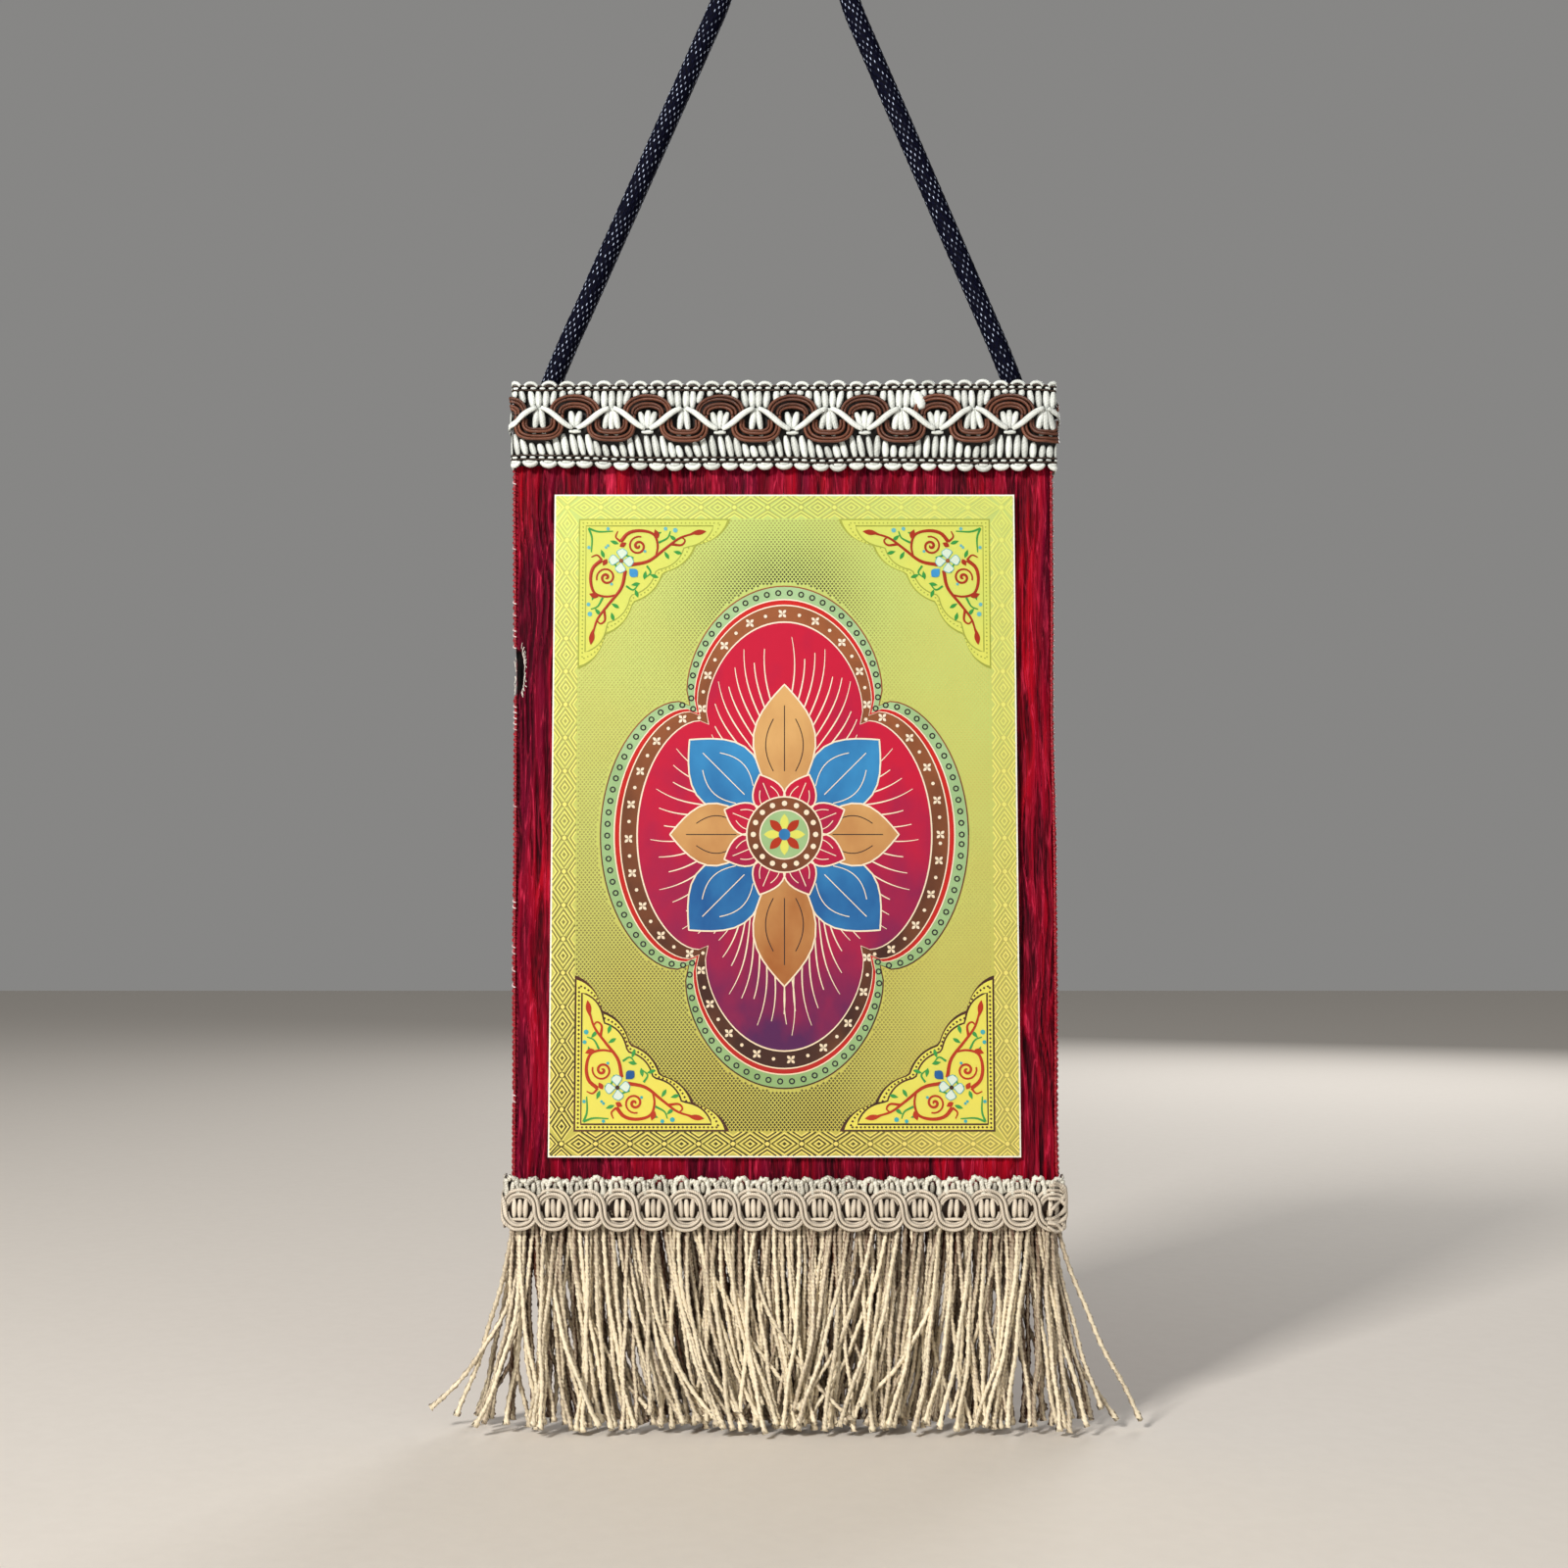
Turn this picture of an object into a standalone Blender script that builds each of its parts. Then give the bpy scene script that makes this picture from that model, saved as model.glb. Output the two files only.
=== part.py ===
"""A small hanging church banner, built piece by piece as a maker sews it.

A flat bag of crimson crinkle cloth carries a stiff picture card on its front. A gimp braid closes its top, a looped
header with a thread fringe finishes its foot, and the two ends of one hanging cord are caught in its top seam.

Units are metres and +Z is up. The front faces -Y, and +X is on the right when the banner is seen from the front.
The origin is the inside of the hanging loop's top, where a peg or a hook carries the banner.
"""

import math
from typing import Callable, NamedTuple

import bmesh
import bpy
from mathutils import Vector

GAP = 0.0003  # between neighbouring pieces

# The cloth bag, in front of and behind the cord's plane, which is y = 0.
CLOTH_TOP = -0.1050
CLOTH_FOOT = -0.2872
CLOTH_THICKNESS = 0.0030
CORD_DIAMETER = 0.0048
SEAM_WALL = 0.0010  # cloth round a cord end
POCKET_RADIUS = CORD_DIAMETER / 2 + GAP
FRONT_Y = -(POCKET_RADIUS + SEAM_WALL)
BACK_Y = FRONT_Y + CLOTH_THICKNESS
EDGE_ROUND = 0.0011  # how far the turned side edges draw in
EDGE_ROUND_WIDTH = 0.0014
BACK_CREASE_SHARE = 0.6  # the back layer's troughs, next to the front's
LEAST_COLUMN = 0.0005

# The picture card
CARD_WIDTH = 0.1040
CARD_HEIGHT = 0.1480
CARD_THICKNESS = 0.0008
CARD_TOP = -0.1299
CARD_CENTRE_X = 0.0001

# The gimp braid along the top
BRAID_TOP = -0.1035
BRAID_FOOT = -0.1243
BRAID_THICKNESS = 0.0022
BRAID_SIDE_THICKNESS = 0.0010  # where it is drawn tight round the cloth's edges
BRAID_PICOT_PITCH = 0.0039
BRAID_PICOT_HEIGHT = 0.0012
BRAID_INNER_HALF_WIDTH = 0.0612
BRAID_RETURN = 0.0018  # how far its ends run round to the back

# The fringe's looped header
HEADER_TOP = -0.2815
HEADER_FOOT = -0.2939
HEADER_THICKNESS = 0.0026
HEADER_SIDE_THICKNESS = 0.0014
HEADER_PICOT_PITCH = 0.0046
HEADER_PICOT_HEIGHT = 0.0013
HEADER_LOOP_PITCH = 0.0073
HEADER_LOOP_HEIGHT = 0.0016
HEADER_INNER_HALF_WIDTH = 0.0607
HEADER_RETURN = 0.0080
STRIP_STEP = 0.00078  # distance between the stations of both strips
CORNER_INSET = 0.02  # share of the thickness by which a turn's inner points stay off the corner, and so apart

# The fringe
FRINGE_TOP = CLOTH_FOOT - GAP
FRINGE_ROOT = HEADER_FOOT
FRINGE_FOOT = -0.3364
FRINGE_HALF_WIDTH = 0.0602
FRINGE_TEETH = 32
TOOTH_FILL = 0.78  # a tooth's width as a share of the distance between teeth
TOOTH_SECTIONS = 5
TOOTH_BEND = 1.6  # above 1, a tooth leaves the header straight down and bends lower
FOOT_THICKNESS = 0.0084

# The hanging cord
CORD_POINTS = 64
CORD_BEVEL_RESOLUTION = 3
# Its centreline in the plane y = 0: the left end in the seam, the left leg, the loop, the right leg, the right end.
CORD_ROUTE = (
    (-0.0546, -0.1160),
    (-0.0546, -0.1120),
    (-0.0545, -0.1080),
    (-0.0538, -0.1040),
    (-0.0500, -0.0942),
    (-0.0455, -0.0838),
    (-0.0393, -0.0692),
    (-0.0328, -0.0540),
    (-0.0259, -0.0378),
    (-0.0196, -0.0230),
    (-0.0157, -0.0138),
    (-0.0131, -0.0067),
    (-0.0102, -0.0022),
    (-0.0066, 0.0006),
    (-0.0031, 0.0020),
    (0.0005, 0.0024),
    (0.0041, 0.0020),
    (0.0076, 0.0006),
    (0.0112, -0.0022),
    (0.0141, -0.0067),
    (0.0163, -0.0138),
    (0.0203, -0.0236),
    (0.0263, -0.0381),
    (0.0329, -0.0541),
    (0.0391, -0.0692),
    (0.0452, -0.0840),
    (0.0494, -0.0942),
    (0.0530, -0.1040),
    (0.0536, -0.1080),
    (0.0537, -0.1120),
    (0.0537, -0.1160),
)


class Crease(NamedTuple):
    """One soft vertical trough of the cloth: its place across, its reach to each side, and its depth at both ends."""

    x: float
    half_width: float
    top_depth: float
    foot_depth: float


CREASES = (
    Crease(-0.0570, 0.0012, 0.0004, 0.0006),
    Crease(-0.0540, 0.0014, 0.0007, 0.0005),
    Crease(-0.0500, 0.0016, 0.0004, 0.0007),
    Crease(-0.0440, 0.0022, 0.0006, 0.0003),
    Crease(-0.0370, 0.0018, 0.0003, 0.0006),
    Crease(-0.0290, 0.0024, 0.0007, 0.0004),
    Crease(-0.0210, 0.0018, 0.0005, 0.0006),
    Crease(-0.0120, 0.0022, 0.0003, 0.0005),
    Crease(-0.0050, 0.0016, 0.0006, 0.0004),
    Crease(0.0040, 0.0020, 0.0004, 0.0007),
    Crease(0.0130, 0.0024, 0.0006, 0.0003),
    Crease(0.0200, 0.0018, 0.0004, 0.0006),
    Crease(0.0290, 0.0022, 0.0007, 0.0005),
    Crease(0.0360, 0.0016, 0.0003, 0.0006),
    Crease(0.0450, 0.0022, 0.0006, 0.0004),
    Crease(0.0500, 0.0014, 0.0005, 0.0007),
    Crease(0.0545, 0.0014, 0.0004, 0.0006),
    Crease(0.0575, 0.0012, 0.0006, 0.0005),
)


class EdgeRow(NamedTuple):
    """The cloth's side edges at one share of the way down."""

    down: float
    left: float
    right: float


EDGES = (
    EdgeRow(0.0, -0.0606, 0.0609),
    EdgeRow(0.2, -0.0605, 0.0608),
    EdgeRow(0.4, -0.0600, 0.0609),
    EdgeRow(0.6, -0.0603, 0.0606),
    EdgeRow(0.8, -0.0598, 0.0607),
    EdgeRow(1.0, -0.0595, 0.0603),
)

# Shares of the way down at which the cloth has a row of points. The first ones shape the swell over the cord ends.
CLOTH_ROWS = (0.0, 0.03, 0.065, 0.10, 0.2, 0.3, 0.4, 0.5, 0.6, 0.7, 0.8, 0.9, 1.0)
SWELL_FULL = 0.065  # share of the way down that the swell over a cord end reaches whole
SWELL_GONE = 0.10


class SwellColumn(NamedTuple):
    """The back of the cloth over a cord end: how far to the side, and how far behind the cord's axis."""

    side: float
    behind: float


SWELL = (
    SwellColumn(-0.0045, BACK_Y),
    SwellColumn(-0.0039, -0.0002),
    SwellColumn(-0.0031, 0.0019),
    SwellColumn(-0.0018, 0.0032),
    SwellColumn(0.0, 0.0037),
    SwellColumn(0.0018, 0.0032),
    SwellColumn(0.0031, 0.0019),
    SwellColumn(0.0039, -0.0002),
    SwellColumn(0.0045, BACK_Y),
)
SWELL_CENTRES = (-0.0546, 0.0537)


class Splay(NamedTuple):
    """Where the fringe that leaves the header at root_x stands at its foot."""

    root_x: float
    foot_x: float


FRINGE_SPLAY = (
    Splay(-0.0602, -0.0750),
    Splay(-0.0570, -0.0672),
    Splay(-0.0530, -0.0602),
    Splay(-0.0460, -0.0500),
    Splay(-0.0300, -0.0312),
    Splay(0.0, 0.0),
    Splay(0.0300, 0.0306),
    Splay(0.0470, 0.0490),
    Splay(0.0540, 0.0594),
    Splay(0.0575, 0.0672),
    Splay(0.0602, 0.0765),
)


def clear_scene() -> None:
    """Removes every object that is in the scene at the start."""
    for thing in list(bpy.data.objects):
        bpy.data.objects.remove(thing)


def material(name: str, colour: tuple, roughness: float, metallic: float = 0.0) -> bpy.types.Material:
    """A plain Principled finish."""
    made = bpy.data.materials.new(name)
    made.use_nodes = True
    shader = made.node_tree.nodes["Principled BSDF"]
    shader.inputs["Base Color"].default_value = (*colour, 1.0)
    shader.inputs["Roughness"].default_value = roughness
    shader.inputs["Metallic"].default_value = metallic
    return made


def read_table(value: float, rows: list) -> float:
    """The second column of (key, result) rows at this key, straight between rows."""
    for (low, at_low), (high, at_high) in zip(rows, rows[1:]):
        if value <= high:
            return at_low + (at_high - at_low) * (value - low) / (high - low)
    return rows[-1][1]


def link(name: str, data: bpy.types.ID, finish: bpy.types.Material) -> bpy.types.Object:
    """An object of this data in the scene, in this finish."""
    data.materials.append(finish)
    thing = bpy.data.objects.new(name, data)
    bpy.context.scene.collection.objects.link(thing)
    return thing


def slab(name: str, front: list, back: list, faces: list, finish: bpy.types.Material) -> bpy.types.Object:
    """One closed body between two sheets of matching points.

    faces index the front sheet and turn so that their normals point away from the back one. The rim between the
    sheets is closed along every edge that only one face has.
    """
    shape = bmesh.new()
    ahead = [shape.verts.new(point) for point in front]
    behind = [shape.verts.new(point) for point in back]
    for face in faces:
        shape.faces.new([ahead[i] for i in face])
        shape.faces.new([behind[i] for i in reversed(face)])
    edges = {(a, b) for face in faces for a, b in zip(face, (*face[1:], face[0]))}
    for a, b in sorted(edges):
        if (b, a) not in edges:
            shape.faces.new((ahead[b], ahead[a], behind[a], behind[b]))
    bmesh.ops.triangulate(shape, faces=shape.faces)
    mesh = bpy.data.meshes.new(name)
    shape.to_mesh(mesh)
    shape.free()
    mesh.shade_smooth()
    mesh.set_sharp_from_angle(angle=math.radians(35))
    return link(name, mesh, finish)


def grid_faces(columns: int, rows: int) -> list:
    """Faces over rows of columns points each, the first row on top, with normals towards -Y where columns run to +X."""
    return [
        (r * columns + c, (r + 1) * columns + c, (r + 1) * columns + c + 1, r * columns + c + 1)
        for r in range(rows - 1)
        for c in range(columns - 1)
    ]


# The cloth bag


def crease_depth(x: float, down: float) -> float:
    """How deep the cloth's troughs are at x, this share of the way down."""
    depth = 0.0
    for crease in CREASES:
        reach = max(0.0, 1.0 - abs(x - crease.x) / crease.half_width)
        depth += reach * (crease.top_depth + (crease.foot_depth - crease.top_depth) * down)
    return depth


def swell_y(x: float, down: float) -> float:
    """The back of the cloth at x, this share of the way down, with the swell over the cord ends."""
    if down >= SWELL_GONE:
        return BACK_Y
    fade = min(1.0, (SWELL_GONE - down) / (SWELL_GONE - SWELL_FULL))
    highest = BACK_Y
    for centre in SWELL_CENTRES:
        side = x - centre
        if abs(side) < SWELL[-1].side:
            highest = max(highest, read_table(side, list(SWELL)))
    return BACK_Y + (highest - BACK_Y) * fade


def cloth_columns() -> list:
    """The places across at which the cloth's points lie, as they are at its top."""
    wanted = [EDGES[0].left, EDGES[0].left + EDGE_ROUND_WIDTH, EDGES[0].right - EDGE_ROUND_WIDTH, EDGES[0].right]
    for centre in SWELL_CENTRES:
        wanted += [centre + column.side for column in SWELL]
    for crease in CREASES:
        wanted += [crease.x - crease.half_width, crease.x, crease.x + crease.half_width]
    columns = []
    for x in sorted(wanted):
        if not columns or x - columns[-1] > LEAST_COLUMN:
            columns.append(x)
    columns[-1] = EDGES[0].right
    return columns


def make_cloth(finish: bpy.types.Material) -> bpy.types.Object:
    """The crimson bag: two layers sewn at the sides, with soft troughs, uneven edges and a swell over each cord end."""
    columns = cloth_columns()
    front, back = [], []
    left_top, right_top = EDGES[0].left, EDGES[0].right
    for down in CLOTH_ROWS:
        z = CLOTH_TOP + (CLOTH_FOOT - CLOTH_TOP) * down
        left = read_table(down, [(row.down, row.left) for row in EDGES])
        right = read_table(down, [(row.down, row.right) for row in EDGES])
        for x_top in columns:
            across = (x_top - left_top) / (right_top - left_top)
            x = left + (right - left) * across
            trough = crease_depth(x_top, down)
            from_edge = min(x_top - left_top, right_top - x_top)
            turn = EDGE_ROUND * max(0.0, 1.0 - from_edge / EDGE_ROUND_WIDTH)
            front.append((x, FRONT_Y + trough + turn, z))
            swell = swell_y(x_top, down)
            share = BACK_CREASE_SHARE if swell == BACK_Y else 0.0
            back.append((x, swell - trough * share - turn, z))
    return slab("cloth", front, back, grid_faces(len(columns), len(CLOTH_ROWS)), finish)


def pocket_cutter(name: str, centreline: list) -> bpy.types.Object:
    """A guide that cuts one cord end's pocket: a tube round the cord that runs out through the cloth's top."""
    sides = 12
    shape = bmesh.new()
    rings = []
    for i, point in enumerate(centreline):
        along = (centreline[min(i + 1, len(centreline) - 1)] - centreline[max(i - 1, 0)]).normalized()
        across = Vector((0.0, 1.0, 0.0)).cross(along).normalized()
        ring = []
        for k in range(sides):
            angle = 2 * math.pi * (k + 0.5) / sides
            offset = across * math.cos(angle) + Vector((0.0, 1.0, 0.0)) * math.sin(angle)
            ring.append(shape.verts.new(point + offset * POCKET_RADIUS / math.cos(math.pi / sides)))
        rings.append(ring)
    for low, high in zip(rings, rings[1:]):
        for k in range(sides):
            shape.faces.new((low[k], low[(k + 1) % sides], high[(k + 1) % sides], high[k]))
    shape.faces.new(rings[0])
    shape.faces.new(rings[-1])
    bmesh.ops.recalc_face_normals(shape, faces=shape.faces)
    mesh = bpy.data.meshes.new(name)
    shape.to_mesh(mesh)
    shape.free()
    cutter = bpy.data.objects.new(name, mesh)
    bpy.context.scene.collection.objects.link(cutter)
    cutter.hide_render = True
    cutter.display_type = "WIRE"
    return cutter


def cut_pockets(cloth: bpy.types.Object, centreline: list) -> None:
    """Opens the cloth's top seam round both ends of the cord."""
    clear = Vector((0.0, 0.0, GAP))
    for side, points in (("left", centreline), ("right", centreline[::-1])):
        inside = [point for point in points[: len(points) // 2] if point.z < CLOTH_TOP + 3 * CORD_DIAMETER]
        cutter = pocket_cutter(f"pocket_{side}", [inside[0] - clear, *inside[1:]])
        cut = cloth.modifiers.new(f"pocket_{side}", "BOOLEAN")
        cut.operation = "DIFFERENCE"
        cut.object = cutter


# The card


def make_card(finish: bpy.types.Material) -> bpy.types.Object:
    """The stiff picture card, a hair in front of the cloth."""
    half = CARD_WIDTH / 2
    corners = [
        (CARD_CENTRE_X - half, CARD_TOP),
        (CARD_CENTRE_X - half, CARD_TOP - CARD_HEIGHT),
        (CARD_CENTRE_X + half, CARD_TOP - CARD_HEIGHT),
        (CARD_CENTRE_X + half, CARD_TOP),
    ]
    back_y = FRONT_Y - GAP
    front = [(x, back_y - CARD_THICKNESS, z) for x, z in corners]
    back = [(x, back_y, z) for x, z in corners]
    return slab("picture_card", front, back, [(0, 1, 2, 3)], finish)


# The two strips that turn round the side edges


def strip_stations(half_width: float, thickness: float, side_thickness: float, back_run: float) -> list:
    """Stations of a strip round the cloth, seen from above: (distance along, inner point, outer point)."""
    front_y, back_y = FRONT_Y - GAP, BACK_Y + GAP
    corner_steps = 4
    stations = []

    def station(point: Vector, degrees: float) -> None:
        """One station whose outer point lies in this direction from the inner one."""
        angle = math.radians(degrees)
        reach = thickness if degrees > 180 else side_thickness
        outward = Vector((math.cos(angle) * side_thickness, math.sin(angle) * reach))
        stations.append((point + outward * CORNER_INSET, point + outward * (1 + CORNER_INSET)))

    def run(start: Vector, end: Vector, degrees: float) -> None:
        """A straight run from start to end."""
        steps = max(1, round((end - start).length / STRIP_STEP))
        for i in range(steps + 1):
            station(start.lerp(end, i / steps), degrees)

    def turn(corner: Vector, first: float, last: float) -> None:
        """A turn about a corner, between two directions in degrees."""
        for i in range(1, corner_steps):
            station(corner, first + (last - first) * i / corner_steps)

    back_left, back_right = Vector((-half_width, back_y)), Vector((half_width, back_y))
    front_left, front_right = Vector((-half_width, front_y)), Vector((half_width, front_y))
    run(back_left + Vector((back_run, 0)), back_left, 90)
    turn(back_left, 90, 180)
    run(back_left, front_left, 180)
    turn(front_left, 180, 270)
    run(front_left, front_right, 270)
    turn(front_right, 270, 360)
    run(front_right, back_right, 0)
    turn(back_right, 0, 90)
    run(back_right, back_right + Vector((-back_run, 0)), 90)

    measured, along, before = [], 0.0, None
    for inner, outer in stations:
        middle = (inner + outer) / 2
        along += 0.0 if before is None else (middle - before).length
        before = middle
        measured.append((along, inner, outer))
    return measured


def scallop(along: float, pitch: float) -> float:
    """A row of round scallops: 0 between two of them and 1 at the middle of each."""
    place = 2 * (along / pitch % 1.0) - 1
    return math.sqrt(max(0.0, 1 - place * place))


def make_strip(name: str, stations: list, top_edge: Callable, foot_edge: Callable, finish) -> bpy.types.Object:
    """A strip along its stations, whose upper and lower edges are functions of the distance along."""
    outside, inside = [], []
    for edge in (top_edge, foot_edge):
        for along, inner, outer in stations:
            outside.append((outer.x, outer.y, edge(along)))
            inside.append((inner.x, inner.y, edge(along)))
    return slab(name, outside, inside, grid_faces(len(stations), 2), finish)


def make_braid(finish: bpy.types.Material) -> bpy.types.Object:
    """The gimp braid over the top seam, with small scallops along both edges."""

    def top_edge(along: float) -> float:
        """The scalloped upper edge."""
        return BRAID_TOP - BRAID_PICOT_HEIGHT * (1 - scallop(along, BRAID_PICOT_PITCH))

    def foot_edge(along: float) -> float:
        """The scalloped lower edge, half a scallop out of step."""
        return BRAID_FOOT + BRAID_PICOT_HEIGHT * (1 - scallop(along + BRAID_PICOT_PITCH / 2, BRAID_PICOT_PITCH))

    stations = strip_stations(BRAID_INNER_HALF_WIDTH, BRAID_THICKNESS, BRAID_SIDE_THICKNESS, BRAID_RETURN)
    return make_strip("gimp_braid", stations, top_edge, foot_edge, finish)


def make_header(finish: bpy.types.Material) -> bpy.types.Object:
    """The fringe's header, with picots above and the round loops of its cord below."""

    def top_edge(along: float) -> float:
        """The picots along the upper edge."""
        return HEADER_TOP - HEADER_PICOT_HEIGHT * (1 - scallop(along, HEADER_PICOT_PITCH))

    def foot_edge(along: float) -> float:
        """The loops along the lower edge."""
        return HEADER_FOOT + HEADER_LOOP_HEIGHT * (1 - scallop(along, HEADER_LOOP_PITCH))

    stations = strip_stations(HEADER_INNER_HALF_WIDTH, HEADER_THICKNESS, HEADER_SIDE_THICKNESS, HEADER_RETURN)
    return make_strip("fringe_header", stations, top_edge, foot_edge, finish)


# The fringe


def tooth_section(root_x: float, share: float) -> tuple:
    """(x, z, half thickness) of the fringe that leaves the header at root_x, this share of the way to its foot."""
    foot_x = read_table(root_x, list(FRINGE_SPLAY))
    x = root_x + (foot_x - root_x) * share**TOOTH_BEND
    z = FRINGE_ROOT + (FRINGE_FOOT - FRINGE_ROOT) * share
    half = (CLOTH_THICKNESS + (FOOT_THICKNESS - CLOTH_THICKNESS) * share) / 2
    return x, z, half


def make_fringe(finish: bpy.types.Material) -> bpy.types.Object:
    """The thread fringe as one comb: a band behind the header, and teeth that splay towards their feet."""
    pitch = 2 * FRINGE_HALF_WIDTH / FRINGE_TEETH
    middle_y = (FRONT_Y + BACK_Y) / 2
    front, back, faces = [], [], []

    def add(x: float, z: float, half: float) -> int:
        """One point on each side of the fringe's middle plane."""
        front.append((x, middle_y - half, z))
        back.append((x, middle_y + half, z))
        return len(front) - 1

    band_half = CLOTH_THICKNESS / 2
    previous = None
    for tooth in range(FRINGE_TEETH):
        centre = -FRINGE_HALF_WIDTH + pitch * (tooth + 0.5)
        left, right = centre - pitch * TOOTH_FILL / 2, centre + pitch * TOOTH_FILL / 2
        top = [add(x, FRINGE_TOP, band_half) for x in (left, right)]
        rows = [top]
        for i in range(TOOTH_SECTIONS + 1):
            rows.append([add(*tooth_section(x, i / TOOTH_SECTIONS)) for x in (left, right)])
        for upper, lower in zip(rows, rows[1:]):
            faces.append((upper[0], lower[0], lower[1], upper[1]))
        if previous:
            faces.append((previous[0][1], previous[1][1], rows[1][0], rows[0][0]))
        previous = rows
    return slab("fringe", front, back, faces, finish)


# The cord


def smooth_curve(route: list, count: int) -> list:
    """count points, evenly spaced, on a smooth curve through the route's own points."""
    fine = []
    steps = 24
    padded = [2 * route[0] - route[1], *route, 2 * route[-1] - route[-2]]
    for before, start, end, after in zip(padded, padded[1:], padded[2:], padded[3:]):
        for i in range(steps):
            t = i / steps
            fine.append(
                0.5
                * (
                    2 * start
                    + (end - before) * t
                    + (2 * before - 5 * start + 4 * end - after) * t**2
                    + (3 * start - before - 3 * end + after) * t**3
                )
            )
    fine.append(route[-1])
    lengths = [0.0]
    for a, b in zip(fine, fine[1:]):
        lengths.append(lengths[-1] + (b - a).length)
    points, at = [], 0
    for i in range(count):
        wanted = lengths[-1] * i / (count - 1)
        while at < len(fine) - 2 and lengths[at + 1] < wanted:
            at += 1
        share = (wanted - lengths[at]) / (lengths[at + 1] - lengths[at])
        points.append(fine[at].lerp(fine[at + 1], share))
    return points


def make_cord(centreline: list, finish: bpy.types.Material) -> bpy.types.Object:
    """The hanging cord: one tube whose two ends lie in the cloth's top seam."""
    curve = bpy.data.curves.new("hanging_cord", "CURVE")
    curve.dimensions = "3D"
    curve.bevel_depth = CORD_DIAMETER / 2
    curve.bevel_resolution = CORD_BEVEL_RESOLUTION
    curve.use_fill_caps = True
    spline = curve.splines.new("POLY")
    spline.points.add(len(centreline) - 1)
    for place, point in zip(spline.points, centreline):
        place.co = (*point, 1.0)
    return link("hanging_cord", curve, finish)


def main() -> None:
    """Builds the banner."""
    clear_scene()
    crimson = material("crimson_crinkle_cloth", (0.33, 0.006, 0.030), 0.45)
    ivory = material("ivory_gimp", (0.80, 0.76, 0.66), 0.45)
    silver_cream = material("silver_cream_braid", (0.66, 0.57, 0.42), 0.40)
    cream = material("cream_thread", (0.78, 0.66, 0.47), 0.55)
    gold = material("gold_foil_card", (0.72, 0.56, 0.16), 0.30, 0.6)
    navy = material("navy_cord", (0.012, 0.016, 0.055), 0.50)

    centreline = smooth_curve([Vector((x, 0.0, z)) for x, z in CORD_ROUTE], CORD_POINTS)
    cloth = make_cloth(crimson)
    cut_pockets(cloth, centreline)
    make_card(gold)
    make_braid(ivory)
    make_header(silver_cream)
    make_fringe(cream)
    make_cord(centreline, navy)


if __name__ == "__main__":
    main()
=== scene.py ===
"""Looks of a small hanging church banner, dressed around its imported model.

A crimson crinkle-cloth bag hangs on one navy braided cord. A gimp braid covers its top seam, a looped header with a
thread fringe finishes its foot, and a gilt card with a floral medallion is glued to its front.

Sizes are in millimetres, which become metres where a mesh is made. +Z is up, the front faces -Y, and the origin is
the inside of the hanging loop's top.
"""

import logging
import math
from dataclasses import dataclass
from enum import Enum
from typing import NamedTuple, Optional, Union

import bpy
import numpy as np
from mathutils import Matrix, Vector


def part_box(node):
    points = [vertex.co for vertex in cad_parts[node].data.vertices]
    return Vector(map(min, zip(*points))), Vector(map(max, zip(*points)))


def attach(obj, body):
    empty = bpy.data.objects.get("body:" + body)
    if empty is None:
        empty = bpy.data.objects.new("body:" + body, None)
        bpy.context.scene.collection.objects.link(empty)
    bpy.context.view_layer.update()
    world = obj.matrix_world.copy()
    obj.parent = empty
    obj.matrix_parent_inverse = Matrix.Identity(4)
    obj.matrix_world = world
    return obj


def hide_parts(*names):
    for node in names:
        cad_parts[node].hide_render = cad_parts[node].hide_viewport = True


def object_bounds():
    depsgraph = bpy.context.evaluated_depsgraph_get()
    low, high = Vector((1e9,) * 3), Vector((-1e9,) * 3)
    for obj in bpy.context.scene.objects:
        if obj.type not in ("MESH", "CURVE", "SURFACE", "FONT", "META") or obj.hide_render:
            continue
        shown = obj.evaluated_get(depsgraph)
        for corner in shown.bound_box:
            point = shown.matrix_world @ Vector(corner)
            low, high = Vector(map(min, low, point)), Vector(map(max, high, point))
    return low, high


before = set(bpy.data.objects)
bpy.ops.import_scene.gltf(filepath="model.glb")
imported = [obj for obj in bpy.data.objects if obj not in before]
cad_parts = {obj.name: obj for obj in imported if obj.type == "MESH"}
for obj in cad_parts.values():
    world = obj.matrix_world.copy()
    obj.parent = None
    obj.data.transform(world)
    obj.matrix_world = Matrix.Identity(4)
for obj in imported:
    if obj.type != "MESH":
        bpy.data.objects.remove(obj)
CAD_LOW, CAD_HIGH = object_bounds()

MM = 0.001
TURN = 2 * math.pi
FRONT = (0.0, -1.0, 0.0)
TONE = "tone"  # each point's place between a finish's dark and light colours
LAY = "lay"  # each corner's place round a thread, in turns, and along it
BAG_THICKNESS = 3.0
FOUR_WAYS = np.array([[1, 0], [0, 1], [-1, 0], [0, -1]])

log = logging.getLogger("church_banner")

Socket = bpy.types.NodeSocket
Value = Union[float, tuple, Socket]
Size = Union[float, np.ndarray]


# Places and paths


def box(node: str) -> tuple:
    """The low and high corners of a plain solid."""
    return tuple(np.array(corner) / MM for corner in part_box(node))


def rows(*columns: Size) -> np.ndarray:
    """Columns side by side, any of them one number for every row."""
    return np.stack(np.broadcast_arrays(*columns), axis=-1)


def unit(vectors: np.ndarray) -> np.ndarray:
    """Each row as a vector of length 1."""
    return vectors / np.maximum(np.linalg.norm(vectors, axis=1, keepdims=True), 1e-12)


def eased(share: Size) -> Size:
    """A share from 0 to 1 that starts and stops gently."""
    return share * share * (3 - 2 * share)


def bent(wave: np.ndarray, power: float) -> np.ndarray:
    """A wave that is squarer below power 1."""
    return np.sign(wave) * np.abs(wave) ** power


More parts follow.
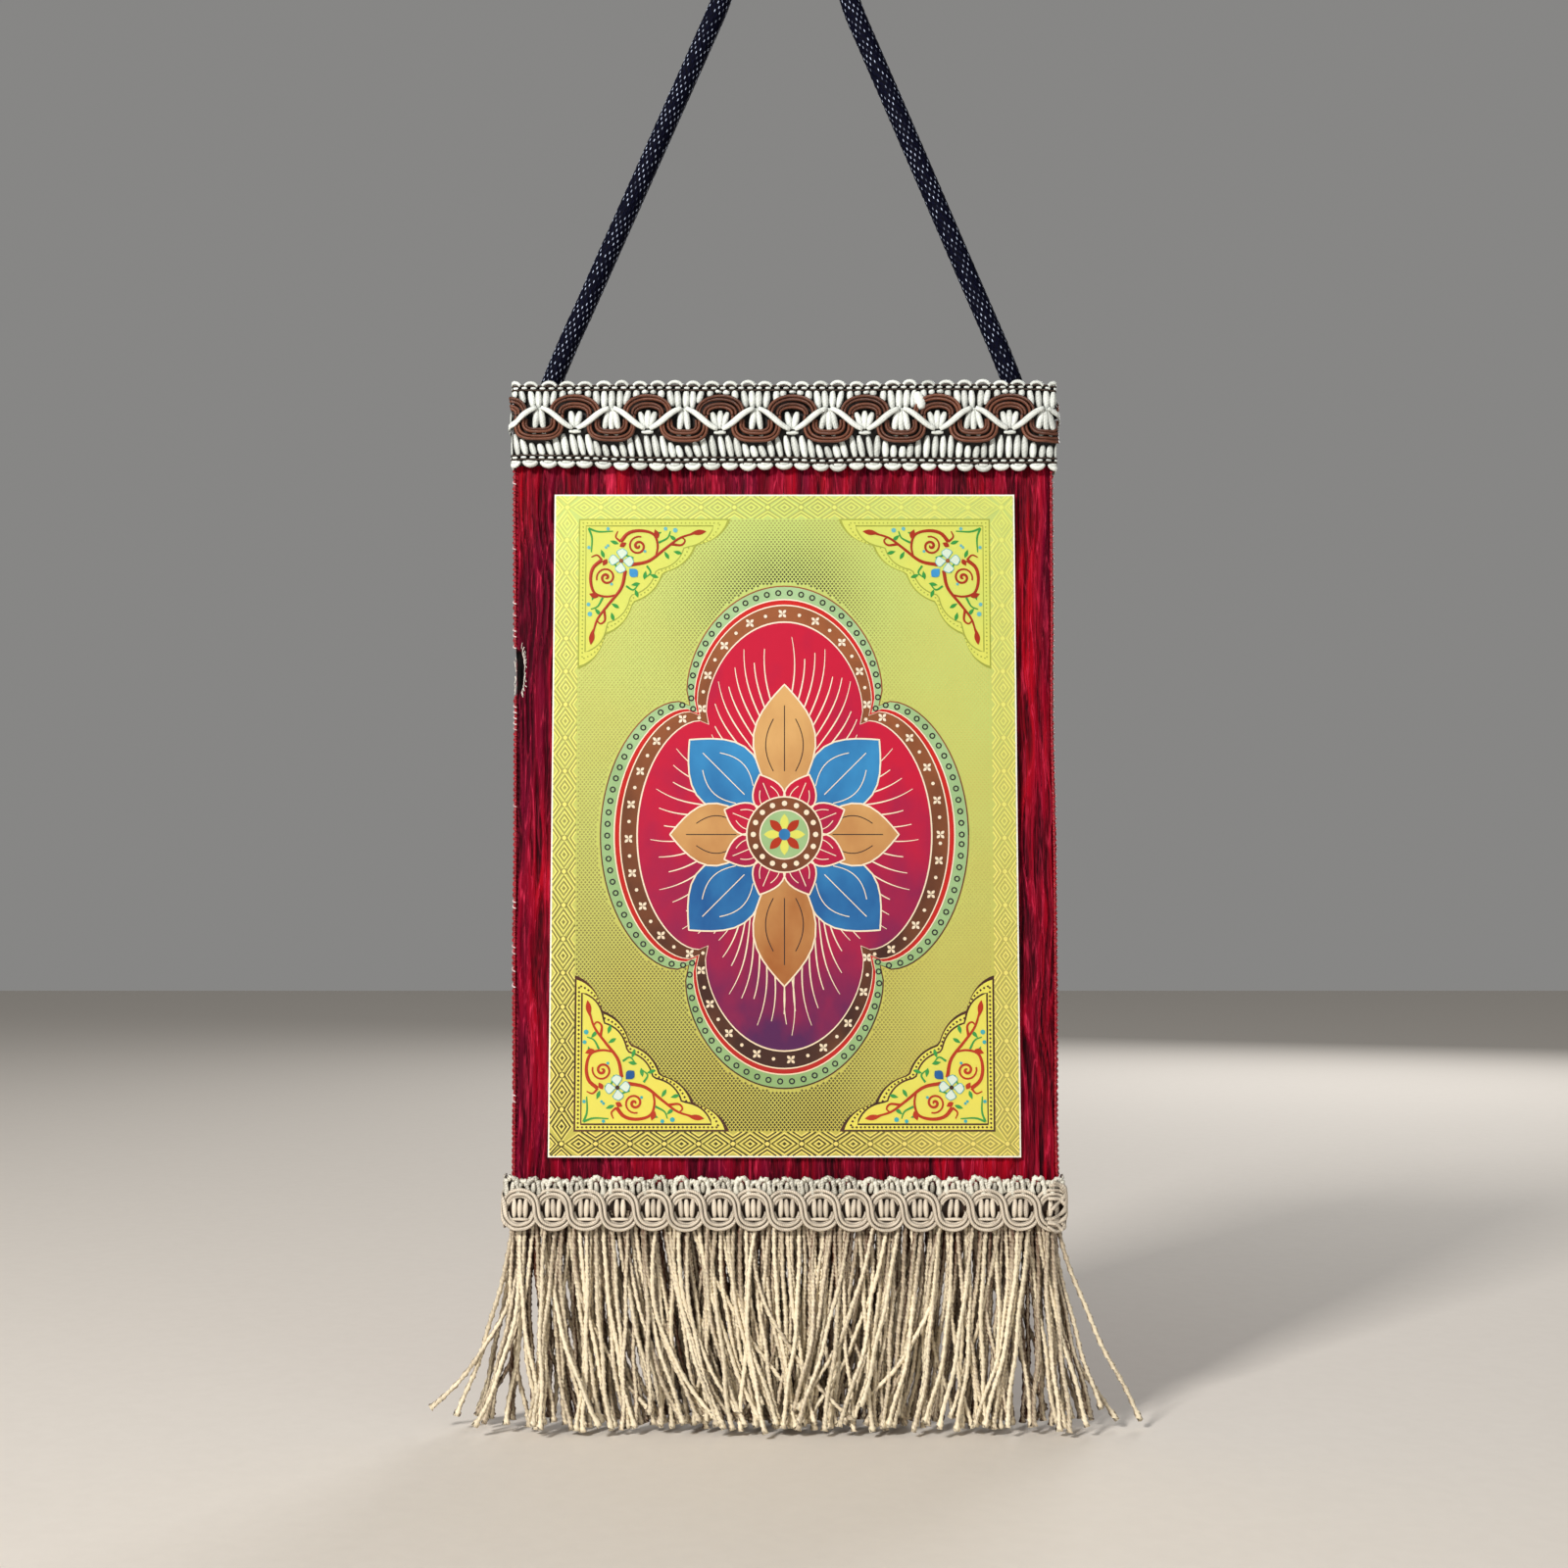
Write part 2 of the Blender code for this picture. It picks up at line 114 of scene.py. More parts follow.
def circle(count: int) -> np.ndarray:
    """Places round a circle of radius 1."""
    angle = TURN * np.arange(count) / count
    return rows(np.cos(angle), np.sin(angle))


def pointing(ahead: Size, aside: Size, degrees: float) -> np.ndarray:
    """Places this far ahead and aside when facing a direction, in degrees from the right."""
    cos, sin = math.cos(math.radians(degrees)), math.sin(math.radians(degrees))
    return rows(ahead * cos - aside * sin, ahead * sin + aside * cos)


def petal(length: float, width: float, degrees: float, heel: tuple, blunt: float = 0.55, count: int = 28) -> np.ndarray:
    """A petal's edge.

    Args:
        length: From its heel to its tip.
        width: Its greatest width.
        degrees: The way it points.
        heel: Where it begins.
        blunt: How far towards the tip it is widest.
        count: How many points it has.

    Returns:
        The edge.
    """
    turn = TURN * np.arange(count) / count
    share = (1 - np.cos(turn)) / 2
    side = np.sin(math.pi * share ** (math.log(0.5) / math.log(blunt))) * width / 2 * np.sign(np.sin(turn))
    return np.array(heel) + pointing(share * length, side, degrees)


def line(start: tuple, end: tuple, count: int) -> np.ndarray:
    """Points on a straight line, evenly spaced."""
    share = np.linspace(0.0, 1.0, count)[:, None]
    return np.array(start) * (1 - share) + np.array(end) * share


def along(path: np.ndarray) -> np.ndarray:
    """The distance from the start of a path to each of its points."""
    return np.concatenate([[0.0], np.cumsum(np.linalg.norm(np.diff(path, axis=0), axis=1))])


def spaced(path: np.ndarray, count: int) -> np.ndarray:
    """The same path with this many points, evenly spaced."""
    distance = along(path)
    return rows(*(np.interp(np.linspace(0.0, distance[-1], count), distance, column) for column in path.T))


def smooth_path(route: list, count: int) -> np.ndarray:
    """Points on a smooth curve through a route.

    Args:
        route: The places that the curve goes through.
        count: How many points are wanted.

    Returns:
        The points, evenly spaced along the curve.
    """
    given = np.array(route, float)
    padded = np.concatenate([[2 * given[0] - given[1]], given, [2 * given[-1] - given[-2]]])
    t = np.linspace(0.0, 1.0, 24, endpoint=False)[:, None]
    runs = [
        0.5 * (2 * start + (end - before) * t + (2 * before - 5 * start + 4 * end - after) * t**2
               + (3 * start - before - 3 * end + after) * t**3)
        for before, start, end, after in zip(padded, padded[1:], padded[2:], padded[3:])
    ]
    return spaced(np.concatenate([*runs, given[-1:]]), count)


class Ripple:
    """Smooth, repeatable unevenness over a plane, from -1 to 1."""

    SIZE = 64

    def __init__(self, seed: int) -> None:
        """Draws the unevenness from a seed."""
        self.table = np.random.default_rng(seed).uniform(-1, 1, (self.SIZE, self.SIZE))

    def at(self, u: Size, v: Size) -> np.ndarray:
        """The unevenness at places given in cells.

        Args:
            u: Places across.
            v: Places along.

        Returns:
            One number for each place.
        """
        u, v = np.broadcast_arrays(np.asarray(u, float), np.asarray(v, float))
        column, row = np.floor(u).astype(int), np.floor(v).astype(int)
        fu, fv = eased(u - column), eased(v - row)
        pairs = []
        for down in (0, 1):
            near, far = (self.table[(row + down) % self.SIZE, (column + across) % self.SIZE] for across in (0, 1))
            pairs.append(near * (1 - fu) + far * fu)
        return pairs[0] * (1 - fv) + pairs[1] * fv


# Meshes


class Shape(NamedTuple):
    """A small mesh: points, point numbers of quads and triangles, and each corner's lay, quads first."""

    points: np.ndarray
    quads: np.ndarray
    triangles: np.ndarray
    lay: np.ndarray


def bare(points: np.ndarray, quads: np.ndarray, triangles: np.ndarray) -> Shape:
    """A shape with no lay."""
    return Shape(points, quads, triangles, np.zeros((quads.size + triangles.size, 2)))


NO_QUADS, NO_TRIANGLES = np.zeros((0, 4), int), np.zeros((0, 3), int)


class Pile:
    """Collects small meshes that end as one piece."""

    def __init__(self) -> None:
        """Starts with nothing in it."""
        self.shapes: list[Shape] = []
        self.tones: list[np.ndarray] = []
        self.slots: list[int] = []

    def add(self, shape: Shape, tone: Size = 0.5, slot: int = 0) -> None:
        """Adds one shape.

        Args:
            shape: The small mesh.
            tone: Its place between the finish's dark and light colours, one number or one for each point.
            slot: Which of the piece's finishes it wears.
        """
        self.shapes.append(shape)
        self.tones.append(np.broadcast_to(tone, len(shape.points)))
        self.slots.append(slot)

    def hang(self, name: str, finishes: list, slot: str, *nodes: str, smooth: bool = True) -> bpy.types.Object:
        """Joins everything into one piece, fixes it to the banner and reports it.

        Args:
            name: The piece's name.
            finishes: Its materials, in the order of the slots.
            slot: The record's material slot that it stands for, which is only named in the log.
            nodes: The plain solids that it stands for.
            smooth: Whether its faces are shaded smooth.

        Returns:
            The finished piece.
        """
        points, quads, triangles, _ = zip(*self.shapes)
        offsets = np.cumsum([0] + [len(part) for part in points[:-1]])
        corners, slots = [], []
        for parts in (quads, triangles):
            corners += [(part + offset).ravel() for part, offset in zip(parts, offsets)]
            slots.append(np.repeat(self.slots, [len(part) for part in parts]))
        corner_count = [4] * len(slots[0]) + [3] * len(slots[1])
        starts = np.cumsum([0] + corner_count[:-1])
        corners, slots = np.concatenate(corners), np.concatenate(slots)
        mesh = bpy.data.meshes.new(name)
        mesh.vertices.add(sum(map(len, points)))
        mesh.loops.add(len(corners))
        mesh.polygons.add(len(starts))
        mesh.vertices.foreach_set("co", (np.concatenate(points) * MM).astype(np.float32).ravel())
        mesh.loops.foreach_set("vertex_index", corners.astype(np.int32))
        mesh.polygons.foreach_set("loop_start", starts.astype(np.int32))
        mesh.polygons.foreach_set("material_index", slots.astype(np.int32))
        mesh.polygons.foreach_set("use_smooth", np.full(len(starts), smooth))
        mesh.update(calc_edges=True)
        lays = [shape.lay[:shape.quads.size] for shape in self.shapes]
        lays += [shape.lay[shape.quads.size:] for shape in self.shapes]
        mesh.uv_layers.new(name=LAY).uv.foreach_set("vector", np.concatenate(lays).astype(np.float32).ravel())
        tones = np.concatenate(self.tones).astype(np.float32)
        mesh.attributes.new(TONE, "FLOAT", "POINT").data.foreach_set("value", tones)
        for finish in finishes:
            mesh.materials.append(finish)
        piece = placed(name, mesh)
        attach(piece, "root")
        if nodes:
            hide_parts(*nodes)
        log.info("%s: %d faces, slot %s", name, len(starts), slot)
        return piece


def placed(name: str, data: bpy.types.ID) -> bpy.types.Object:
    """A new object in the scene."""
    made = bpy.data.objects.new(name, data)
    bpy.context.scene.collection.objects.link(made)
    return made


def ring_quads(rings: int, sides: int) -> np.ndarray:
    """The quads between closed rings of points."""
    number = np.arange(rings * sides).reshape(rings, sides)
    after = np.roll(number, -1, axis=1)
    return rows(number[:-1], after[:-1], after[1:], number[1:]).reshape(-1, 4)


def tube(path: np.ndarray, radius: Size, sides: int = 6, flat: float = 1.0, towards: tuple = FRONT,
         turns: float = 0.0, lobes: float = 0.0, phase: float = 0.0) -> Shape:
    """A closed tube along a path.

    Args:
        path: The points that it follows.
        radius: Half its width, one number or one for each point.
        sides: How many sides it has.
        flat: Its thickness as a share of its width.
        towards: The way its flat side faces, never along the path.
        turns: How many times its section turns on the way.
        lobes: How far its section is from round, as for a yarn of two plies.
        phase: How far its section is turned at the start, in turns.

    Returns:
        The tube, with both ends closed.
    """
    ring, count = len(path), len(path) * sides
    tangent = unit(np.gradient(path, axis=0))
    facing = np.array(towards)
    out = unit(facing - (tangent @ facing)[:, None] * tangent)
    across = np.cross(tangent, out)
    angle = TURN * np.arange(sides) / sides
    place = angle + TURN * (phase + turns * np.linspace(0.0, 1.0, ring))[:, None]
    width = np.broadcast_to(radius, ring)[:, None] * (1 + lobes * np.cos(2 * angle))
    body = (path[:, None] + across[:, None] * (width * np.cos(place))[:, :, None]
            + out[:, None] * (width * np.sin(place) * flat)[:, :, None])
    side = np.arange(sides)
    after = (side + 1) % sides
    caps = [rows(count, after, side), rows(count + 1, count - sides + side, count - sides + after)]
    share, length = side / sides, along(path)
    low, high = length[:-1, None], length[1:, None]
    corners = [(share, low), (share + 1 / sides, low), (share + 1 / sides, high), (share, high)]
    lay = np.stack([rows(*corner) for corner in corners], axis=2).reshape(-1, 2)
    return Shape(
        np.concatenate([body.reshape(-1, 3), path[:1], path[-1:]]),
        ring_quads(ring, sides),
        np.concatenate(caps),
        np.concatenate([lay, np.zeros((6 * sides, 2))]),
    )


def grain(start: tuple, end: tuple, width: float, flat: float = 0.7, sides: int = 8, rings: int = 9) -> Shape:
    """A plump satin stitch that narrows at both ends.

    Args:
        start: Where it begins.
        end: Where it ends.
        width: Its full width in the middle.
        flat: Its thickness as a share of its width.
        sides: How many sides it has.
        rings: How many rings it has.

    Returns:
        The stitch.
    """
    swell = np.sin(math.pi * np.linspace(0.06, 0.94, rings)) ** 0.42
    return tube(line(start, end, rings), width / 2 * swell, sides, flat)


def slab(outline: np.ndarray, low: float, high: float, hub: Optional[np.ndarray] = None) -> Shape:
    """A thin flat shape that faces the front.

    Args:
        outline: Its corners as rows of x and z, each in sight of the hub.
        low: The y of its back.
        high: The y of its front, less than low.
        hub: The place that its faces fan out from, or None for its middle.

    Returns:
        The closed slab.
    """
    ahead = np.roll(outline, -1, axis=0)
    if np.sum(outline[:, 0] * ahead[:, 1] - ahead[:, 0] * outline[:, 1]) < 0:
        outline = outline[::-1]
    count = len(outline)
    x, z = outline.T
    middle = outline.mean(axis=0) if hub is None else hub
    centres = [[middle[0], high, middle[1]], [middle[0], low, middle[1]]]
    rim = np.arange(count)
    after = (rim + 1) % count
    triangles = np.concatenate([rows(2 * count, rim, after), rows(2 * count + 1, count + after, count + rim)])
    points = np.concatenate([rows(x, high, z), rows(x, low, z), centres])
    return bare(points, rows(rim, count + rim, count + after, after), triangles)


def painted_back_shade(shape: Shape, tone: Size, depth: float) -> np.ndarray:
    """Tones for a tube: the given one in front, and painted shade that darkens it towards its back.

    Args:
        shape: The tube.
        tone: The tone of its front, one number or one for each ring.
        depth: How much painted shade darkens its back.

    Returns:
        One tone for each point.
    """
    rings = shape.points[:-2, 1].reshape(-1, len(shape.triangles) // 2)
    behind = rings - rings.min(axis=1, keepdims=True)
    share = behind / np.maximum(behind.max(axis=1, keepdims=True), 1e-6)
    tones = np.broadcast_to(tone, len(rings))[:, None] - depth * share
    return np.append(tones.ravel(), [tones[0, 0], tones[-1, 0]])


# Finishes


def colour(red: int, green: int, blue: int) -> tuple:
    """A colour given in screen values from 0 to 255, as the shaders want it."""
    screen = [part / 255 for part in (red, green, blue)]
    return (*(part / 12.92 if part <= 0.04045 else ((part + 0.055) / 1.055) ** 2.4 for part in screen), 1.0)


class Recipe:
    """A finish's node tree, with short ways to add and join its nodes."""

    def __init__(self, name: str) -> None:
        """Makes the material with its main shader."""
        self.material = bpy.data.materials.new(name)
        self.material.use_nodes = True
        self.tree = self.material.node_tree

    def feed(self, socket: Socket, value: Value) -> None:
        """Sets a socket, or links another one to it."""
        if isinstance(value, bpy.types.NodeSocket):
            self.tree.links.new(value, socket)
        else:
            socket.default_value = value

    def node(self, kind: str, values: dict, **settings: str) -> bpy.types.Node:
        """A new node.

        Args:
            kind: Its kind, without the shader prefix.
            values: What its sockets hold, by their names or numbers.
            settings: Its other settings.

        Returns:
            The node.
        """
        node = self.tree.nodes.new("ShaderNode" + kind)
        for name, setting in settings.items():
            setattr(node, name, setting)
        for name, value in values.items():
            self.feed(node.inputs[name], value)
        return node

    def surface(self, **values: Value) -> bpy.types.Material:
        """Sets the main shader's sockets, named with underscores for spaces, and gives the material."""
        for name, value in values.items():
            self.feed(self.tree.nodes["Principled BSDF"].inputs[name.replace("_", " ")], value)
        return self.material

    def sum(self, operation: str, *values: Value) -> Socket:
        """One step of arithmetic on numbers."""
        return self.node("Math", dict(enumerate(values)), operation=operation).outputs[0]

    def times(self, one: Value, other: Value) -> Socket:
        """One number times another."""
        return self.sum("MULTIPLY", one, other)

    def shifted(self, number: Socket, wander: Socket, reach: float) -> Socket:
        """A number, moved up or down by an unevenness from 0 to 1."""
        return self.sum("MULTIPLY_ADD", self.sum("SUBTRACT", wander, 0.5), reach, number)

    def blend(self, share: Value, low: Value, high: Value) -> Socket:
        """A colour between two.

        Args:
            share: How far it is from the low one to the high one, from 0 to 1.
            low: The first colour.
            high: The second colour.

        Returns:
            The colour.
        """
        node = self.node("Mix", {"Factor": share}, data_type="RGBA")
        colours = [socket for socket in node.inputs if socket.type == "RGBA"]
        self.feed(colours[0], low)
        self.feed(colours[1], high)
        return next(socket for socket in node.outputs if socket.type == "RGBA")

    def within(self, value: Value, low: float, high: float, to_low: float = 0.0, to_high: float = 1.0) -> Socket:
        """A number's place between low and high, as a number between two others."""
        return self.node("MapRange", dict(enumerate((value, low, high, to_low, to_high)))).outputs[0]

    def tone(self) -> Socket:
        """The tone that the mesh carries at its points."""
        return self.node("Attribute", {}, attribute_name=TONE).outputs["Fac"]

    def places(self) -> Socket:
        """Places on the piece, in metres."""
        return self.node("TexCoord", {}).outputs["Object"]

    def parts(self, vector: Socket) -> list[Socket]:
        """A vector's three numbers."""
        return list(self.node("SeparateXYZ", {0: vector}).outputs)

    def joined(self, *numbers: Value) -> Socket:
        """Up to three numbers as one vector."""
        return self.node("CombineXYZ", dict(enumerate(numbers))).outputs[0]

    def noise(self, places: Socket, detail: float, bend: float = 0.0) -> Socket:
        """Soft unevenness from 0 to 1."""
        values = {"Vector": places, "Scale": 1.0, "Detail": detail, "Distortion": bend}
        return self.node("TexNoise", values).outputs["Fac"]

    def cloudy(self, across: float, up: float, detail: float = 3.0, bend: float = 0.0) -> Socket:
        """Soft unevenness with this many cells to a metre across and up the piece."""
        scale = {"Vector": self.places(), "Scale": (across, across, up)}
        return self.noise(self.node("Mapping", scale).outputs[0], detail, bend)

    def ridges(self, across: float, up: float, width: float, bend: float = 0.5) -> Socket:
        """Thin wandering lines, 1 on each line and 0 between them."""
        off = self.sum("ABSOLUTE", self.sum("SUBTRACT", self.cloudy(across, up, 1.0, bend), 0.5))
        return self.within(off, 0.0, width, 1.0, 0.0)

    def lay(self) -> list[Socket]:
        """Turns round a thread, and millimetres along it."""
        return self.parts(self.node("UVMap", {}, uv_map=LAY).outputs[0])

    def streaks(self, count: float) -> Socket:
        """Fine fibres that run along a thread, from 0 to 1."""
        around, distance, _ = self.lay()
        return self.noise(self.joined(self.times(around, count), self.times(distance, 0.35)), 2.0)

    def wrapped(self, plies: float, pitch: float) -> Socket:
        """The slanting grooves of a twisted or wound thread.

        Args:
            plies: How many grooves there are round it.
            pitch: How many millimetres one groove takes to go round.

        Returns:
            A number that is 0 in a groove and 1 on a crest.
        """
        around, distance, _ = self.lay()
        phase = self.sum("MULTIPLY_ADD", distance, plies / pitch, self.times(around, plies))
        return self.within(self.sum("SINE", self.times(phase, TURN)), -1.0, 1.0)

    def bumped(self, height: Value, depth: float, strength: float = 1.0, under: Optional[Socket] = None) -> Socket:
        """A surface relief.

        Args:
            height: The relief, from 0 to 1.
            depth: How deep it is.
            strength: How much of it shows.
            under: Another relief that it lies on.

        Returns:
            The bent normals.
        """
        values = {"Height": height, "Distance": depth * MM, "Strength": strength}
        if under is not None:
            values["Normal"] = under
        return self.node("Bump", values).outputs[0]


@dataclass(frozen=True)
class ThreadFinish:
    """Satin or spun thread: lighter on its crests, with painted shade in its slanting grooves, and fine fibres."""

    name: str
    dark: tuple
    light: tuple
    plies: float = 2.0
    pitch: float = 1.6
    roughness: float = 0.42
    groove: float = 0.06
    # How much painted shade darkens the grooves.
    groove_shade: float = 0.22
    fibre_colour: float = 0.5

    def make(self) -> bpy.types.Material:
        """Makes the finish.

        Returns:
            Its material.
        """
        recipe = Recipe(self.name)
        crest, fibres = recipe.wrapped(self.plies, self.pitch), recipe.streaks(14.0)
        # Painted shade: the grooves are darker than the crests, on top of the shade that the mesh's tone paints.
        share = recipe.sum("MULTIPLY_ADD", crest, self.groove_shade, recipe.tone())
        share = recipe.sum("MULTIPLY_ADD", recipe.cloudy(420.0, 260.0, 2.0), 0.35, share)
        share = recipe.within(recipe.shifted(share, fibres, self.fibre_colour), 0.15, 1.15)
        return recipe.surface(
            Base_Color=recipe.blend(share, colour(*self.dark), colour(*self.light)),
            Roughness=self.roughness,
            Normal=recipe.bumped(fibres, 0.08, 0.8, recipe.bumped(crest, self.groove)),
        )


@dataclass(frozen=True)
class BraidFinish:
    """Near-black navy braid with painted shade in its hollows and a painted glint, a highlight put into the base
    colour, on many of its stitches.
    """

    strands: float
    stitch: float
    name: str = "navy_braid"
    # Painted shade in the hollows of the braid.
    dark: tuple = (1, 1, 6)
    thread: tuple = (10, 12, 36)
    # Painted highlight colour of the glints.
    glint: tuple = (210, 224, 250)

    def make(self) -> bpy.types.Material:
        """Makes the finish.

        Returns:
            Its material.
        """
        recipe = Recipe(self.name)
        around, distance, _ = recipe.lay()
        across, climb = recipe.times(around, self.strands), recipe.sum("DIVIDE", distance, self.stitch)
        cells, offs = [], []
        for operation in ("ADD", "SUBTRACT"):
            way = recipe.sum(operation, across, climb)
            cells.append(recipe.sum("FLOOR", way))
            offs.append(recipe.sum("SUBTRACT", recipe.sum("FRACT", way), 0.5))
        aside, ahead = recipe.times(recipe.sum("ADD", *offs), 2.6), recipe.times(recipe.sum("SUBTRACT", *offs), 1.25)
        off = recipe.sum("ADD", recipe.times(aside, aside), recipe.times(ahead, ahead))
        # Painted highlight: a glint on many stitches, put into the base colour.
        shines = recipe.node("TexWhiteNoise", {"Vector": recipe.joined(*cells)}).outputs["Value"]
        glint_mask = recipe.times(recipe.within(off, 0.07, 0.22, 1.0, 0.0), recipe.within(shines, 0.25, 0.75))
        # Painted shade: dark in the hollows, thread colour on the crowns.
        under = recipe.blend(recipe.tone(), colour(*self.dark), colour(*self.thread))
        return recipe.surface(
            Base_Color=recipe.blend(glint_mask, under, colour(*self.glint)),
            Roughness=0.7,
            Specular_IOR_Level=0.06,
            Normal=recipe.bumped(recipe.within(off, 0.0, 0.6, 1.0, 0.0), 0.12),
        )


@dataclass(frozen=True)
class CrinkleFinish:
    """Crimson crinkle cloth: plum and red by turns, with painted highlight lines for the silky sheen on its crests,
    painted shade in its troughs and a painted shadow inside the worn slit.
    """

    name: str = "crimson_crinkle"
    # Painted shadow inside the worn slit.
    slit_shadow: tuple = (10, 4, 6)
    # Painted shade in the crinkles' troughs.
    trough: tuple = (42, 0, 10)
    plum: tuple = (108, 0, 36)
    red: tuple = (166, 0, 26)
    # Painted highlight: the silky sheen along the crests.
    crest: tuple = (228, 52, 88)

    def make(self) -> bpy.types.Material:
        """Makes the finish.

        Returns:
            Its material.
        """
        recipe = Recipe(self.name)
        tone = recipe.tone()
        broad, fine = recipe.ridges(520.0, 30.0, 0.035), recipe.ridges(1100.0, 52.0, 0.05, 0.8)
        weave = recipe.cloudy(4200.0, 300.0)
        tint = recipe.within(recipe.cloudy(150.0, 16.0, 2.0), 0.38, 0.62)
        body = recipe.blend(tint, colour(*self.plum), colour(*self.red))
        # Painted shade: the body darkens towards the trough colour where the tone says the cloth lies deep.
        body = recipe.blend(recipe.within(recipe.shifted(tone, weave, 0.9), 0.0, 0.7), colour(*self.trough), body)
        # Painted highlight lines for the sheen on the crests, fainter in the troughs.
        line = recipe.sum("MAXIMUM", recipe.times(broad, 0.8), recipe.times(fine, 0.5))
        line = recipe.times(line, recipe.within(tone, 0.1, 0.8, 0.35, 1.0))
        shade = recipe.blend(recipe.times(line, recipe.within(weave, 0.3, 0.6)), body, colour(*self.crest))
        relief = recipe.bumped(recipe.sum("ADD", broad, recipe.times(fine, 0.6)), 0.16)
        return recipe.surface(
            # Painted shadow where the tone falls below zero, inside the worn slit.
            Base_Color=recipe.blend(recipe.within(tone, -0.5, -0.1), colour(*self.slit_shadow), shade),
            Roughness=0.62,
            Specular_IOR_Level=0.08,
            Normal=recipe.bumped(weave, 0.14, 0.9, relief),
        )


@dataclass(frozen=True)
class CardFinish:
    """A finish of the card that runs from one colour at its foot to another at its head."""

    name: str
    foot: tuple
    head: tuple
    above: float = 0.0  # how far over the card's foot the foot's colour ends
    below: float = 0.0  # how far under the card's head the head's colour begins
    metallic: float = 0.15
    roughness: float = 0.34

    def climb(self, recipe: Recipe, cells: tuple, blotches: float) -> Socket:
        """The colour at each height.

        Args:
            recipe: The finish's recipe.
            cells: How many blotches there are to a metre across and up.
            blotches: How far they move the colour.

        Returns:
            The colour.
        """
        low, high = box("picture_card")
        upright = recipe.parts(recipe.places())[2]
        climb = recipe.within(upright, (low[2] + self.above) * MM, (high[2] - self.below) * MM)
        climb = recipe.within(recipe.shifted(climb, recipe.cloudy(*cells), blotches), 0.0, 1.0)
        return recipe.blend(climb, colour(*self.foot), colour(*self.head))


@dataclass(frozen=True)
class FoilFinish(CardFinish):
    """Greenish-gold embossed foil, with painted shade in the embossing's hollows; its change of colour from foot to
    head is partly painted reflection.
    """

    # Painted shade in the embossing's hollows.
    recess_shade: tuple = (112, 98, 26)
    metallic: float = 0.2
    roughness: float = 0.38

    def make(self) -> bpy.types.Material:
        """Makes the finish.

        Returns:
            Its material.
        """
        recipe = Recipe(self.name)
        hammered = recipe.cloudy(2400.0, 2400.0, 2.0)
        # The change from foot colour to head colour is partly painted reflection.
        shade = self.climb(recipe, (60.0, 60.0), 0.5)
        return recipe.surface(
            Base_Color=recipe.blend(recipe.within(recipe.tone(), 0.0, 1.0), colour(*self.recess_shade), shade),
            Metallic=self.metallic,
            Roughness=recipe.within(hammered, 0.2, 0.8, self.roughness - 0.08, self.roughness + 0.08),
            Normal=recipe.bumped(hammered, 0.012),
        )


@dataclass(frozen=True)
class InkFinish(CardFinish):
    """Coloured ink over foil."""

    def make(self) -> bpy.types.Material:
        """Makes the finish.

        Returns:
            Its material.
        """
        recipe = Recipe(self.name)
        return recipe.surface(
            Base_Color=self.climb(recipe, (130.0, 90.0), 0.9),
            Metallic=self.metallic,
            Roughness=self.roughness,
            Coat_Weight=0.35,
            Coat_Roughness=0.2,
            Normal=recipe.bumped(recipe.cloudy(1500.0, 1500.0, 2.0), 0.01),
        )


@dataclass(frozen=True)
class FloorFinish:
    """A plain pale floor."""

    name: str = "pale_floor"
    pale: tuple = (226, 219, 210)
    deep: tuple = (206, 198, 188)

    def make(self) -> bpy.types.Material:
        """Makes the finish.

        Returns:
            Its material.
        """
        recipe = Recipe(self.name)
        grainy = recipe.cloudy(260.0, 260.0, 4.0)
        share = recipe.within(grainy, 0.3, 0.7, 0.0, 0.12)
        return recipe.surface(
            Base_Color=recipe.blend(share, colour(*self.pale), colour(*self.deep)),
            Roughness=0.85,
            Normal=recipe.bumped(grainy, 0.2, 0.4),
        )


# The view and the light


